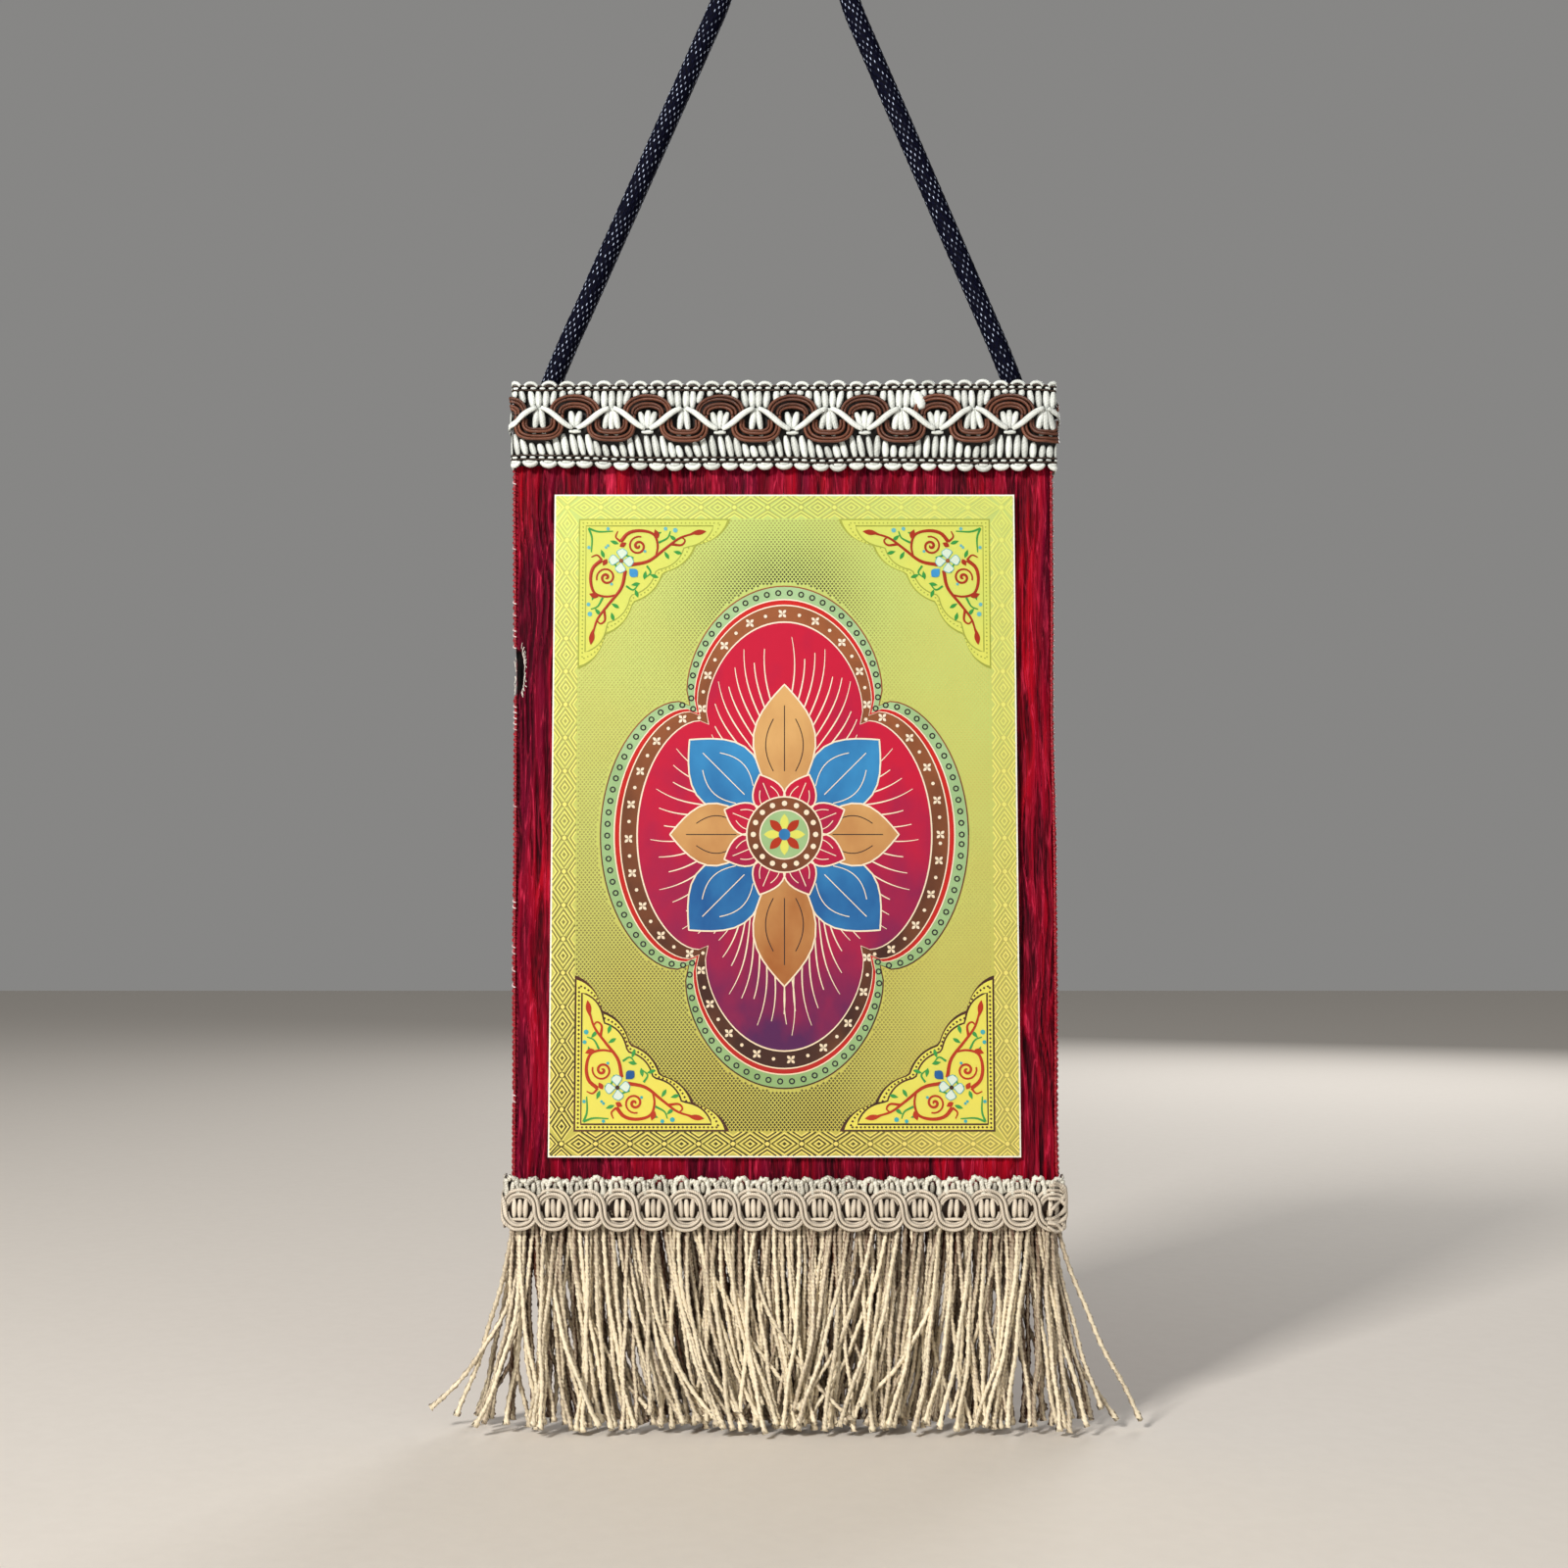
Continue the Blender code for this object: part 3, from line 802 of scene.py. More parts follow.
@dataclass
class Studio:
    """The camera, the pale floor and soft studio light."""

    camera_place: tuple = (0.0, -410.5, -228.6)
    tilt_up: float = 4.65  # degrees
    lens: float = 41.85
    sensor: float = 36.0
    floor_gap: float = 0.6
    floor_half: float = 3000.0

    def build(self) -> None:
        """Sets the camera in front of the banner, the floor under it and the light."""
        camera = placed("camera", bpy.data.cameras.new("camera"))
        camera.data.lens, camera.data.sensor_width, camera.data.clip_start = self.lens, self.sensor, 10 * MM
        camera.location = Vector(self.camera_place) * MM
        camera.rotation_euler = (math.radians(90 + self.tilt_up), 0.0, 0.0)
        bpy.context.scene.camera = camera
        level, half = CAD_LOW.z - self.floor_gap * MM, self.floor_half * MM
        mesh = bpy.data.meshes.new("floor")
        corners = [(x * half, y * half, level) for x, y in ((-1, -1), (1, -1), (1, 1), (-1, 1))]
        mesh.from_pydata(corners, [], [(0, 1, 2, 3)])
        mesh.materials.append(FloorFinish().make())
        placed("floor", mesh)
        self.light()

    def lamp(self, name: str, place: tuple, size: float, power: float, tint: tuple = (1.0, 1.0, 1.0)) -> None:
        """One soft lamp that faces the banner's middle.

        Args:
            name: The lamp's name.
            place: Where it stands, in metres.
            size: The side of its square face, in metres.
            power: Its power in watts.
            tint: Its colour.
        """
        made = placed(name, bpy.data.lights.new(name, "AREA"))
        made.data.size, made.data.energy, made.data.color = size, power, tint
        made.location = place
        made.rotation_euler = ((CAD_LOW + CAD_HIGH) / 2 - Vector(place)).to_track_quat("-Z", "Y").to_euler()

    def light(self) -> None:
        """A key from the upper left, a weak fill from the right, one from behind, and a pale sky."""
        self.lamp("key", (-0.62, -0.80, 0.36), 0.2, 13.0, (1.0, 0.975, 0.94))
        self.lamp("fill", (0.95, -0.9, -0.1), 0.8, 1.8, (0.95, 0.97, 1.0))
        self.lamp("back", (0.5, 1.1, 0.35), 0.6, 6.0)
        world = bpy.data.worlds.new("pale_room")
        world.use_nodes = True
        sky = world.node_tree.nodes["Background"].inputs
        sky["Color"].default_value, sky["Strength"].default_value = (0.93, 0.92, 0.90, 1.0), 0.26
        bpy.context.scene.world = world
        bpy.context.scene.view_settings.view_transform = "Standard"


# The hanging cord


@dataclass
class HangingCord:
    """One braided navy cord: both ends are caught in the top seam."""

    diameter: float = 4.8
    ring_step: float = 0.42
    sides: int = 48
    strands: int = 12  # of the braid in each direction
    stitch: float = 2.2  # the braid's length for one stitch
    relief: float = 0.24

    # The centreline's x and z in the plane y = 0: left end, left leg, loop, right leg, right end
    ROUTE = (
        (-54.6, -116.0), (-54.6, -112.0), (-54.5, -108.0), (-53.8, -104.0), (-50.0, -94.2), (-45.5, -83.8),
        (-39.3, -69.2), (-32.8, -54.0), (-25.9, -37.8), (-19.6, -23.0), (-15.7, -13.8), (-13.1, -6.7),
        (-10.2, -2.2), (-6.6, 0.6), (-3.1, 2.0), (0.5, 2.4), (4.1, 2.0), (7.6, 0.6), (11.2, -2.2), (14.1, -6.7),
        (16.3, -13.8), (20.3, -23.6), (26.3, -38.1), (32.9, -54.1), (39.1, -69.2), (45.2, -84.0), (49.4, -94.2),
        (53.0, -104.0), (53.6, -108.0), (53.7, -112.0), (53.7, -116.0),
    )

    def crowns(self, length: np.ndarray) -> np.ndarray:
        """How high the braid's strands stand, from 0 to 1.

        Args:
            length: The distance along at each ring.

        Returns:
            One number for each ring and side.
        """
        turn, climb = np.arange(self.sides) / self.sides * self.strands, length[:, None] / self.stitch
        left, right = turn + climb, turn - climb
        bulges = [np.abs(np.sin(math.pi * way)) ** 0.7 for way in (left, right)]
        over, under = (bulge * (0.75 + 0.25 * other) for bulge, other in (bulges, bulges[::-1]))
        return np.where((np.floor(left) + np.floor(right)) % 2 < 1, over, under)

    def build(self) -> None:
        """Makes the cord."""
        rough = smooth_path([(x, 0.0, z) for x, z in self.ROUTE], 400)
        path = spaced(rough, round(along(rough)[-1] / self.ring_step))
        length = along(path)
        plain = tube(path, self.diameter / 2, self.sides)
        crown = self.crowns(length)
        scale = 1 - self.relief / (self.diameter / 2) * (1 - crown)
        body = plain.points[:-2].reshape(len(path), self.sides, 3)
        body = path[:, None] + (body - path[:, None]) * scale[:, :, None]
        pile = Pile()
        # Painted shade: the tone is light on the strands' crowns and dark in the hollows between them.
        pile.add(plain._replace(points=np.concatenate([body.reshape(-1, 3), plain.points[-2:]])),
                 np.append(crown.ravel() ** 2, [0.0, 0.0]))
        finish = BraidFinish(self.strands, self.stitch)
        piece = pile.hang("hanging_cord_braid", [finish.make()], "navy_cord", "hanging_cord")


# The cloth bag


@dataclass
class ClothBag:
    """The crimson bag: a crinkled sheet in front and behind, sewn together at the sides."""

    column_step: float = 0.5
    edge_step: float = 0.22
    edge_band: float = 10.0
    row_step: float = 1.6
    depth: float = 0.72  # of the crinkles
    round_in: float = 1.5  # how far from the edge the sheet begins to turn
    spread_left: float = 0.9  # how much wider the left side is at the top than in the plain solid
    taper_left: float = 2.0
    taper_right: float = 0.6
    edge_sway: float = 0.25
    swell_height: float = 4.4
    swell_reach: float = 4.4
    swell_foot: float = 15.0  # how far down the swells over the cord's ends go
    wear_z: float = -170.0
    wear_half: float = 5.4
    wear_width: float = 2.5
    wear_inset: float = -0.5  # from the left edge to the slit
    stitch_pitch: float = 1.25
    sewing_top: float = 19.0  # how far under the top seam the side sewing shows
    sewing_foot: float = 5.0

    def __post_init__(self) -> None:
        """Reads the bag's place from the frame."""
        low, high = box("cloth")
        (self.left, self.front, self.foot), self.right, self.top = low, high[0], high[2]
        self.back = self.front + BAG_THICKNESS
        self.middle = self.front + BAG_THICKNESS / 2
        self.farthest_left = box("gimp_braid")[0][0] + 1.1
        self.wander, self.broad, self.fine = Ripple(11), Ripple(12), Ripple(13)

    def edges(self, z: Size) -> tuple:
        """The bag's side edges, which sway a little.

        Args:
            z: Heights.

        Returns:
            The left and right edge at each height.
        """
        down = (self.top - z) / (self.top - self.foot)
        left = self.left - self.spread_left + self.taper_left * down
        left = left + self.edge_sway * (1 + self.wander.at(3.7, z / 26))
        right = self.right - self.taper_right * down - self.edge_sway * (1 + self.wander.at(9.2, z / 30))
        return np.maximum(left, self.farthest_left), right

    def crinkle(self, x: np.ndarray, z: np.ndarray, seed: float) -> np.ndarray:
        """How deep the crinkles are.

        Args:
            x: Places across.
            z: Heights.
            seed: Which part of the unevenness is used.

        Returns:
            A number from 0 on a crest to 1 in a trough.
        """
        drift = 1.3 * self.wander.at(x / 9 + seed, z / 19) + 0.5 * self.wander.at(x / 3 + 5 + seed, z / 8)
        across = x + drift
        broad = self.broad.at(across / 1.15 + seed, z / 26)
        fine = self.fine.at(across / 0.7 + seed, z / 15)
        swell = self.wander.at(across / 4 + 2 * seed, z / 50)
        crest = 0.72 * np.exp(-((broad / 0.26) ** 2)) + 0.3 * np.exp(-((fine / 0.3) ** 2)) + 0.2 * swell
        return np.clip(0.9 - crest, 0.0, 1.0)

    def wear(self, from_left: np.ndarray, z: np.ndarray) -> np.ndarray:
        """How open the worn slit by the left edge is.

        Args:
            from_left: Distances from the left edge.
            z: Heights.

        Returns:
            A number from 0 to 1 for each place.
        """
        lens = 1 - ((z - self.wear_z) / self.wear_half) ** 2
        reach = self.wear_width / 2 * np.sqrt(np.clip(lens, 0.0, 1.0))
        off = np.abs(from_left - self.wear_inset - self.wear_width / 2)
        return np.clip((reach - off) / 0.25, 0.0, 1.0) * (lens > 0)

    def columns(self) -> np.ndarray:
        """The sheets' columns, closer together near the edges.

        Returns:
            Their shares of the way across the bag.
        """
        width = self.right - self.left
        near = np.arange(0.0, self.edge_band, self.edge_step)
        count = math.ceil((width - 2 * self.edge_band) / self.column_step)
        return np.concatenate([near, np.linspace(self.edge_band, width - self.edge_band, count + 1),
                               width - near[::-1]]) / width

    def sheet(self, z: np.ndarray, seed: float, is_front: bool) -> tuple:
        """One side of the bag.

        Args:
            z: The rows' heights.
            seed: Which part of the unevenness it uses.
            is_front: Whether it is the front.

        Returns:
            Its points by row and column, and their tones, which paint shade into the troughs and shadow into the worn
            slit.
        """
        left, right = (edge[:, None] for edge in self.edges(z))
        x = left + (right - left) * self.columns()
        height = np.broadcast_to(z[:, None], x.shape)
        turn = np.clip(1 - np.minimum(x - left, right - x) / self.round_in, 0.0, 1.0)
        half = BAG_THICKNESS / 2 * np.sqrt(1 - turn**2 * 0.97)
        deep = self.crinkle(x, height, seed)
        sunk = self.depth * deep * (1 - 0.75 * turn)
        if is_front:
            worn = self.wear(x - left, height)
            y = self.middle - half + sunk + 1.1 * worn
            # The tones are painted shade in the troughs and, below zero, painted shadow in the worn slit.
            return rows(x, y, height), (1 - deep) * (1 - worn) - 0.6 * worn
        y = np.maximum(self.middle + half - 0.7 * sunk, self.swell(x, height) - 0.3 * self.depth * deep)
        # The back's tones are painted shade in its troughs.
        return rows(x, y, height), 1 - deep

    def swell(self, x: np.ndarray, z: np.ndarray) -> np.ndarray:
        """The back of the cloth over the two cord ends.

        Args:
            x: Places across.
            z: Heights.

        Returns:
            The least y at each place.
        """
        fade = eased(np.clip((z - (self.top - self.swell_foot)) / 5, 0.0, 1.0))
        ground = self.back - self.depth
        bells = [np.clip(1 - ((x - HangingCord.ROUTE[end][0]) / self.swell_reach) ** 2, 0.0, 1.0) for end in (0, -1)]
        return ground + (self.swell_height + self.depth) * np.maximum(*bells) ** 0.7 * fade

    def bag(self) -> None:
        """The crinkled bag, one closed mesh."""
        z = np.linspace(self.top, self.foot, round((self.top - self.foot) / self.row_step) + 1)
        sides = zip(self.sheet(z, 0.0, True), self.sheet(z, 20.0, False))
        loop, tone = (np.concatenate([front, back[:, ::-1]], axis=1) for front, back in sides)
        height, across = tone.shape
        number = np.arange(height * across).reshape(height, across)
        lids = []
        for row, order in ((0, 1), (-1, -1)):
            ahead, behind = number[row, : across // 2], number[row, across // 2:][::-1]
            lids.append(rows(ahead[:-1], ahead[1:], behind[1:], behind[:-1])[:, ::order])
        quads = np.concatenate([ring_quads(height, across)[:, [0, 3, 2, 1]], *lids])
        pile = Pile()
        pile.add(bare(loop.reshape(-1, 3), quads, NO_TRIANGLES), tone.ravel())
        piece = pile.hang("cloth_bag", [CrinkleFinish().make()], "crimson_crinkle_cloth", "cloth")

    def edge_sewing(self) -> None:
        """The twisted cord line and the overcast stitches down both side edges."""
        rng = np.random.default_rng(21)
        pile = Pile()
        start, end = self.top - self.sewing_top, self.foot + self.sewing_foot
        z = np.linspace(start, end, 260)
        turn = np.linspace(-0.42, 0.42, 7) * math.pi
        for side in (-1, 1):
            edge = self.edges(z)[max(side, 0)]
            sound = np.where((np.abs(z - self.wear_z) < self.wear_half) & (side < 0), 0.05, 1.0)
            path = rows(edge + side * 0.05, self.middle - 0.7, z)
            pile.add(tube(path, 0.34 * sound, 6, turns=70, lobes=0.18), 0.45)
            for at in np.arange(start, end, -self.stitch_pitch):
                here = float(self.edges(at)[max(side, 0)])
                lean = rng.uniform(0.5, 0.9)
                hoop = rows(
                    here + side * (0.15 + 1.15 * (np.cos(turn) - 0.62)),
                    self.middle + 1.75 * np.sin(turn),
                    at + lean * np.sin(turn) + rng.normal(0, 0.08),
                )
                near = abs(at - self.wear_z) / self.wear_half
                fleck = side < 0 and rng.random() < (0.6 if near < 3.2 else 0.2)
                if side < 0 and near < 1:
                    continue
                pile.add(tube(hoop, 0.17, 5, towards=(0.0, 0.0, 1.0)), rng.uniform(0.3, 0.9), int(fleck))
        crimson = ThreadFinish("crimson_thread", (88, 2, 20), (190, 16, 40), pitch=1.4)
        pale = ThreadFinish("pale_thread", (170, 96, 104), (246, 224, 222), pitch=1.4)
        pile.hang("side_stitches", [crimson.make(), pale.make()], "crimson_crinkle_cloth")

    def frays(self) -> None:
        """The loose white threads round the worn slit."""
        rng = np.random.default_rng(22)
        pile = Pile()
        left = float(self.edges(self.wear_z)[0])
        share = np.linspace(0, 1, 6)[:, None]
        for i in range(44):
            high = rng.uniform(-0.95, 0.95)
            side = 1 if i % 3 else -1
            reach = math.sqrt(1 - high**2) * self.wear_width / 2 + 0.1
            root = np.array([
                max(left + self.wear_inset + self.wear_width / 2 + side * reach, left + 0.1),
                self.front + rng.uniform(0.0, 0.5),
                self.wear_z + high * self.wear_half,
            ])
            drop = rng.uniform(0.5, 1.7) * rng.choice([-1, 1])
            ahead = np.array([rng.normal(0, 0.16), -0.2, drop])
            path = root + ahead * share + np.array([max(side, -0.4) * 0.3, 0, 0]) * share**2
            pile.add(tube(path, rng.uniform(0.07, 0.12), 4, towards=(1.0, 0.3, 0.0)), rng.uniform(0.6, 1.0))
        white = ThreadFinish("fray_thread", (178, 150, 140), (252, 246, 236), pitch=1.0)
        pile.hang("worn_frays", [white.make()], "crimson_crinkle_cloth")

    def build(self) -> None:
        """Makes the bag, its side seams and its worn spot."""
        self.bag()
        self.edge_sewing()
        self.frays()


# The two trimmings that turn round the side edges


@dataclass
class Trimming:
    """A braid across the front, round each side edge and a little way along the back.

    It is worked flat first: x is the distance from its middle, y is minus the height off its ground, and z is up.
    """

    corner: float = 0.8
    gap: float = 0.3  # between the cloth and the braid's ground
    side_share: float = 0.55  # how much of its thickness is left where it is drawn round the edges
    ease: float = 2.0  # how far before the edges that begins
    tape_step: float = 0.5

    NODE = ""
    SEED = 0
    INSET = 1.0  # from the plain solid's side to where the braid turns
    BACK_RUN = 1.8
    END_GAP = 0.6  # from the braid's end to its last stitch
    SHADE = 0.8  # how much painted shade darkens the backs of its cords

    def __post_init__(self) -> None:
        """Reads the braid's place from the frame."""
        low, high = box(self.NODE)
        self.foot, self.top = low[2], high[2]
        self.half_width = high[0] - self.INSET
        self.front_y = box("cloth")[0][1] - self.gap
        self.deep = BAG_THICKNESS + 2 * self.gap
        self.half_length = self.half_width + math.pi * self.corner + self.deep + self.BACK_RUN
        self.rng = np.random.default_rng(self.SEED)
        self.sway = Ripple(self.SEED + 1)
        self.pile = Pile()

    def wrap(self, flat: np.ndarray) -> np.ndarray:
        """Puts flat work round the bag.

        Args:
            flat: Its points.

        Returns:
            The same points in their real places.
        """
        past = np.abs(flat[:, 0]) - self.half_width
        drawn = np.clip(past / self.ease + 1, 0.0, 1.0)
        height = -flat[:, 1] * (1 - (1 - self.side_share) * eased(drawn))
        quarter = self.corner * math.pi / 2
        bend = np.clip(past / self.corner, 0.0, math.pi / 2)
        bend = bend + np.clip((past - quarter - self.deep) / self.corner, 0.0, math.pi / 2)
        on_side = np.clip(past - quarter, 0.0, self.deep)
        on_back = np.maximum(past - 2 * quarter - self.deep, 0.0)
        across = self.half_width + np.minimum(past, 0.0) + height * np.sin(bend) - on_back
        return rows(np.sign(flat[:, 0]) * across, self.front_y + on_side - height * np.cos(bend), flat[:, 2])

    def tape(self, foot: float, top: float, height: float, tone: float, slot: int) -> None:
        """Adds the braid's ground, a flat woven tape.

        Args:
            foot: The z of its lower edge.
            top: The z of its upper edge.
            height: The height of its face.
            tone: How light it is.
            slot: Which finish it wears.
        """
        count = round(2 * self.half_length / self.tape_step)
        x = np.linspace(-self.half_length, self.half_length, count)
        rings = [rows(x, -y, z) for y, z in ((0, top), (0, foot), (height, foot), (height, top))]
        number = np.arange(4 * count).reshape(count, 4)
        quads = np.concatenate([ring_quads(count, 4)[:, [0, 3, 2, 1]], number[:1], number[-1:, ::-1]])
        self.pile.add(bare(self.wrap(np.stack(rings, axis=1).reshape(-1, 3)), quads, NO_TRIANGLES), tone, slot)

    def drift(self, flat: np.ndarray) -> np.ndarray:
        """Flat work at its real height on the banner."""
        return flat

    def put(self, shape: Shape, tone: float, slot: int = 0) -> None:
        """Adds one flat-worked shape, in its place round the bag.

        Args:
            shape: The shape.
            tone: How light its front is; painted shade darkens its back.
            slot: Which finish it wears.
        """
        points = self.wrap(self.drift(shape.points))
        # Painted shade darkens the back of each cord.
        self.pile.add(shape._replace(points=points), painted_back_shade(shape, tone, self.SHADE), slot)

    def spots(self, pitch: float, start: float = 0.0) -> np.ndarray:
        """Places all along the braid, evenly spaced.

        Args:
            pitch: The distance between them.
            start: Where one of them is.

        Returns:
            Their distances from the braid's middle.
        """
        reach = self.half_length - self.END_GAP
        first, last = math.ceil((-reach - start) / pitch), math.floor((reach - start) / pitch)
        return start + pitch * np.arange(first, last + 1)


class Arch(Enum):
    """Which way a bow of gimp cord opens."""

    UP = 1
    DOWN = -1


@dataclass
class GimpBraid(Trimming):
    """The gimp over the top seam: satin grains, bows of brown cord, a white zigzag and picots on both edges.

    Its flat work has z from the braid's middle.
    """

    bow_pitch: float = 16.4
    bow_start: float = -47.3  # the first bow that opens downwards
    picot_pitch: float = 4.1
    grain_pitch: float = 1.86
    grain_width: float = 1.62
    cord_radius: float = 0.37
    thread_radius: float = 0.2
    tape_half: float = 9.3
    left_lift: float = 0.9  # how far its left end is pulled up

    NODE = "gimp_braid"
    SEED = 31
    BROWN, OLIVE = 1, 2  # slots of its finishes after the ivory one

    def drift(self, flat: np.ndarray) -> np.ndarray:
        """Flat work at its real height on the banner, with the braid's slight sway.

        Args:
            flat: Its points.

        Returns:
            The moved points.
        """
        x, y, z = flat.T
        lift = np.clip((-x - 20) / 42, 0.0, 1.0)
        z = z + self.left_lift * lift * (0.4 + 0.6 * np.clip(-z / 10, -1.0, 1.0))
        return rows(x, y, z + 0.16 * self.sway.at(x / 9, z / 9) + (self.foot + self.top) / 2)

    def off_bow(self, x: float) -> float:
        """How far x is from the nearest bow that opens downwards."""
        place = (x - self.bow_start) / self.bow_pitch
        return (place - round(place)) * self.bow_pitch

    def picots(self) -> None:
        """The half-moon picots on both edges and the beads and dark threads that bind them."""
        rng, angle = self.rng, np.linspace(0.04, 0.96, 9) * math.pi
        for x in self.spots(self.picot_pitch):
            x = x + rng.normal(0, 0.12)
            wide, tall = rng.uniform(1.42, 1.68), rng.uniform(1.0, 1.3)
            bow = rows(x + wide * np.cos(angle), -1.15, 8.75 + tall * np.sin(angle))
            self.put(tube(bow, 0.46 * (0.75 + 0.3 * np.sin(angle)), 7), rng.uniform(0.7, 1.0))
            moon = rows(x + wide * np.cos(angle), -0.9, -8.95 - tall * 0.9 * np.sin(angle))
            self.put(tube(moon, 0.62 * (0.7 + 0.35 * np.sin(angle)), 7), rng.uniform(0.7, 1.0))
            self.put(grain((x - 1.0, -0.95, -9.1), (x + 1.0, -0.95, -9.1), 1.3), rng.uniform(0.6, 0.9))
        reach = self.half_length - 0.3
        thread_x = np.linspace(-reach, reach, 560)
        wave = np.cos(TURN * thread_x / self.picot_pitch * 2)
        for z, way in ((8.55, 1), (-8.25, -1)):
            for x in self.spots(self.picot_pitch / 2, 0.5):
                self.put(grain((x - 0.62, -1.25, z), (x + 0.62, -1.25, z), 0.72, 0.9, 6, 6), rng.uniform(0.65, 1.0))
            for off in (-0.5, 0.5):
                path = rows(thread_x, -(1.35 + 0.16 * wave), z + off * way)
                self.put(tube(path, self.thread_radius, 5), 0.35, self.OLIVE)

    def upper_grains(self) -> None:
        """The row of upright satin grains under the upper threads; they stop at the bows."""
        rng, half = self.rng, self.bow_pitch / 2
        for x in self.spots(self.grain_pitch):
            off = self.off_bow(x)
            near = abs(off) / half
            foot = 7.1 - 3.2 * (near / 0.62) ** 2 if near < 0.62 else 3.7
            lean = (off - math.copysign(half, off)) * -0.16 if near > 0.495 else 0.0
            start = (x + rng.normal(0, 0.1), -1.0, 8.2)
            end = (x + lean + rng.normal(0, 0.12), -1.15, foot + rng.normal(0, 0.12))
            self.put(grain(start, end, self.grain_width * rng.uniform(0.92, 1.06), 0.62), rng.uniform(0.65, 1.0))
        self.put(grain((30.0, -1.9, 7.2), (31.3, -2.0, 3.4), 2.7, 0.6), 1.0)

    def lower_grains(self) -> None:
        """The slanting row above the lower threads; it begins under the bows."""
        rng = self.rng
        for x in self.spots(self.grain_pitch, 0.7):
            place = abs(self.off_bow(x)) / (self.bow_pitch / 2)
            top = -4.9 + 2.4 * ((1 - place) / 0.58) ** 2 if place > 0.42 else -2.5
            slant = 1.05 * (1 if x < 20 else -0.3)
            start = (x - slant / 2 + rng.normal(0, 0.1), -1.05, top)
            end = (x + slant / 2 + rng.normal(0, 0.1), -0.95, -7.75)
            self.put(grain(start, end, self.grain_width * rng.uniform(0.9, 1.05), 0.62), rng.uniform(0.6, 1.0))

    def bow(self, x: float, way: Arch) -> None:
        """One bow: two brown cords outside, two inside, and leaf-shaped grains within.

        Args:
            x: Its middle.
            way: Which way it bends.
        """
        rng, sign = self.rng, way.value
        angle = np.linspace(-0.06, 1.06, 25) * math.pi
        cos, sin = np.cos(angle), np.sin(angle)
        squareness, centre, outer, tip, heel = {
            Arch.UP: (0.95, 2.5, 3.95, -1.15, 3.1),
            Arch.DOWN: (0.66, 0.35, 4.45, 3.7, -1.75),
        }[way]
        for half, less, height in ((5.35, 0.0, 2.1), (4.62, 0.74, 1.85), (3.5, 1.8, 1.8), (2.85, 2.45, 1.5)):
            half = half * rng.uniform(0.97, 1.03)
            lean = rng.normal(0, 0.15)
            path = rows(
                x + half * bent(cos, squareness) + lean * sin,
                -(height + 0.15 * sin),
                centre + sign * (outer - less) * bent(sin, squareness),
            )
            self.put(tube(path, self.cord_radius, 8), rng.uniform(0.25, 0.6), self.BROWN)
        for step in (-1, 0, 1) if rng.random() < 0.75 else (-0.62, 0.62):
            end = (x + 1.75 * step + rng.normal(0, 0.1), -1.5, heel - 0.35 * abs(step) * sign)
            self.put(grain((x + 0.55 * step, -1.6, tip), end, rng.uniform(1.5, 1.75), 0.6), rng.uniform(0.65, 0.95))
        if way is Arch.DOWN:
            for middle in (x - 1.1, x + 1.1):
                self.put(grain((middle - 0.5, -1.5, -2.5), (middle + 0.5, -1.5, -2.5), 0.6, 0.8, 6, 6), 0.9)

    def zigzag(self) -> None:
        """The flat white ribbon that rises over one bow and dips under the next, with a stitch in each dip."""
        half, count = self.bow_pitch / 2, 12
        share = np.linspace(0, 1, count)
        for x in self.spots(half, self.bow_start):
            dips = round((x - self.bow_start) / half) % 2 == 0
            low, high = (-1.35, 3.55) if dips else (3.55, -1.35)
            path = line((x + 0.5, -2.3, low), (x + half - 0.5, -2.3, high), count)
            path[:, 1] -= 0.35 * np.sin(math.pi * share)
            path[:, 2] += (-1 if dips else 1) * 0.25 * np.sin(TURN * share)
            width = 0.72 * (0.62 + 0.38 * np.sin(math.pi * (0.08 + 0.84 * share)))
            self.put(tube(path, width, 8, 0.42), self.rng.uniform(0.75, 1.0))
            if dips:
                self.put(grain((x - 1.35, -1.9, -2.05), (x + 1.35, -1.9, -2.0), 0.95, 0.7), 0.85)

    def build(self) -> None:
        """Makes the braid."""
        middle = (self.foot + self.top) / 2
        # The olive ground tape is darkened to near black as painted shade between the grains.
        self.tape(middle - self.tape_half, middle + self.tape_half, 0.55, -0.3, self.OLIVE)
        self.picots()
        self.upper_grains()
        self.lower_grains()
        for way, start in ((Arch.UP, 0.0), (Arch.DOWN, self.bow_pitch / 2)):
            for x in self.spots(self.bow_pitch, self.bow_start + start):
                self.bow(x, way)
        self.zigzag()
        finishes = (
            ThreadFinish("ivory_satin", (62, 60, 46), (244, 249, 243), plies=3.0, pitch=2.2, groove=0.02,
                         groove_shade=0.06, fibre_colour=1.2),
            ThreadFinish("brown_gimp", (10, 2, 1), (136, 80, 56), plies=3.0, pitch=0.8, roughness=0.33, groove=0.05,
                         groove_shade=0.4, fibre_colour=1.0),
            ThreadFinish("olive_binding", (12, 5, 3), (86, 60, 40), pitch=1.2, roughness=0.6, groove=0.05,
                         groove_shade=0.2),
        )
        self.pile.hang("gimp_braid_work", [finish.make() for finish in finishes], "ivory_gimp", "gimp_braid")


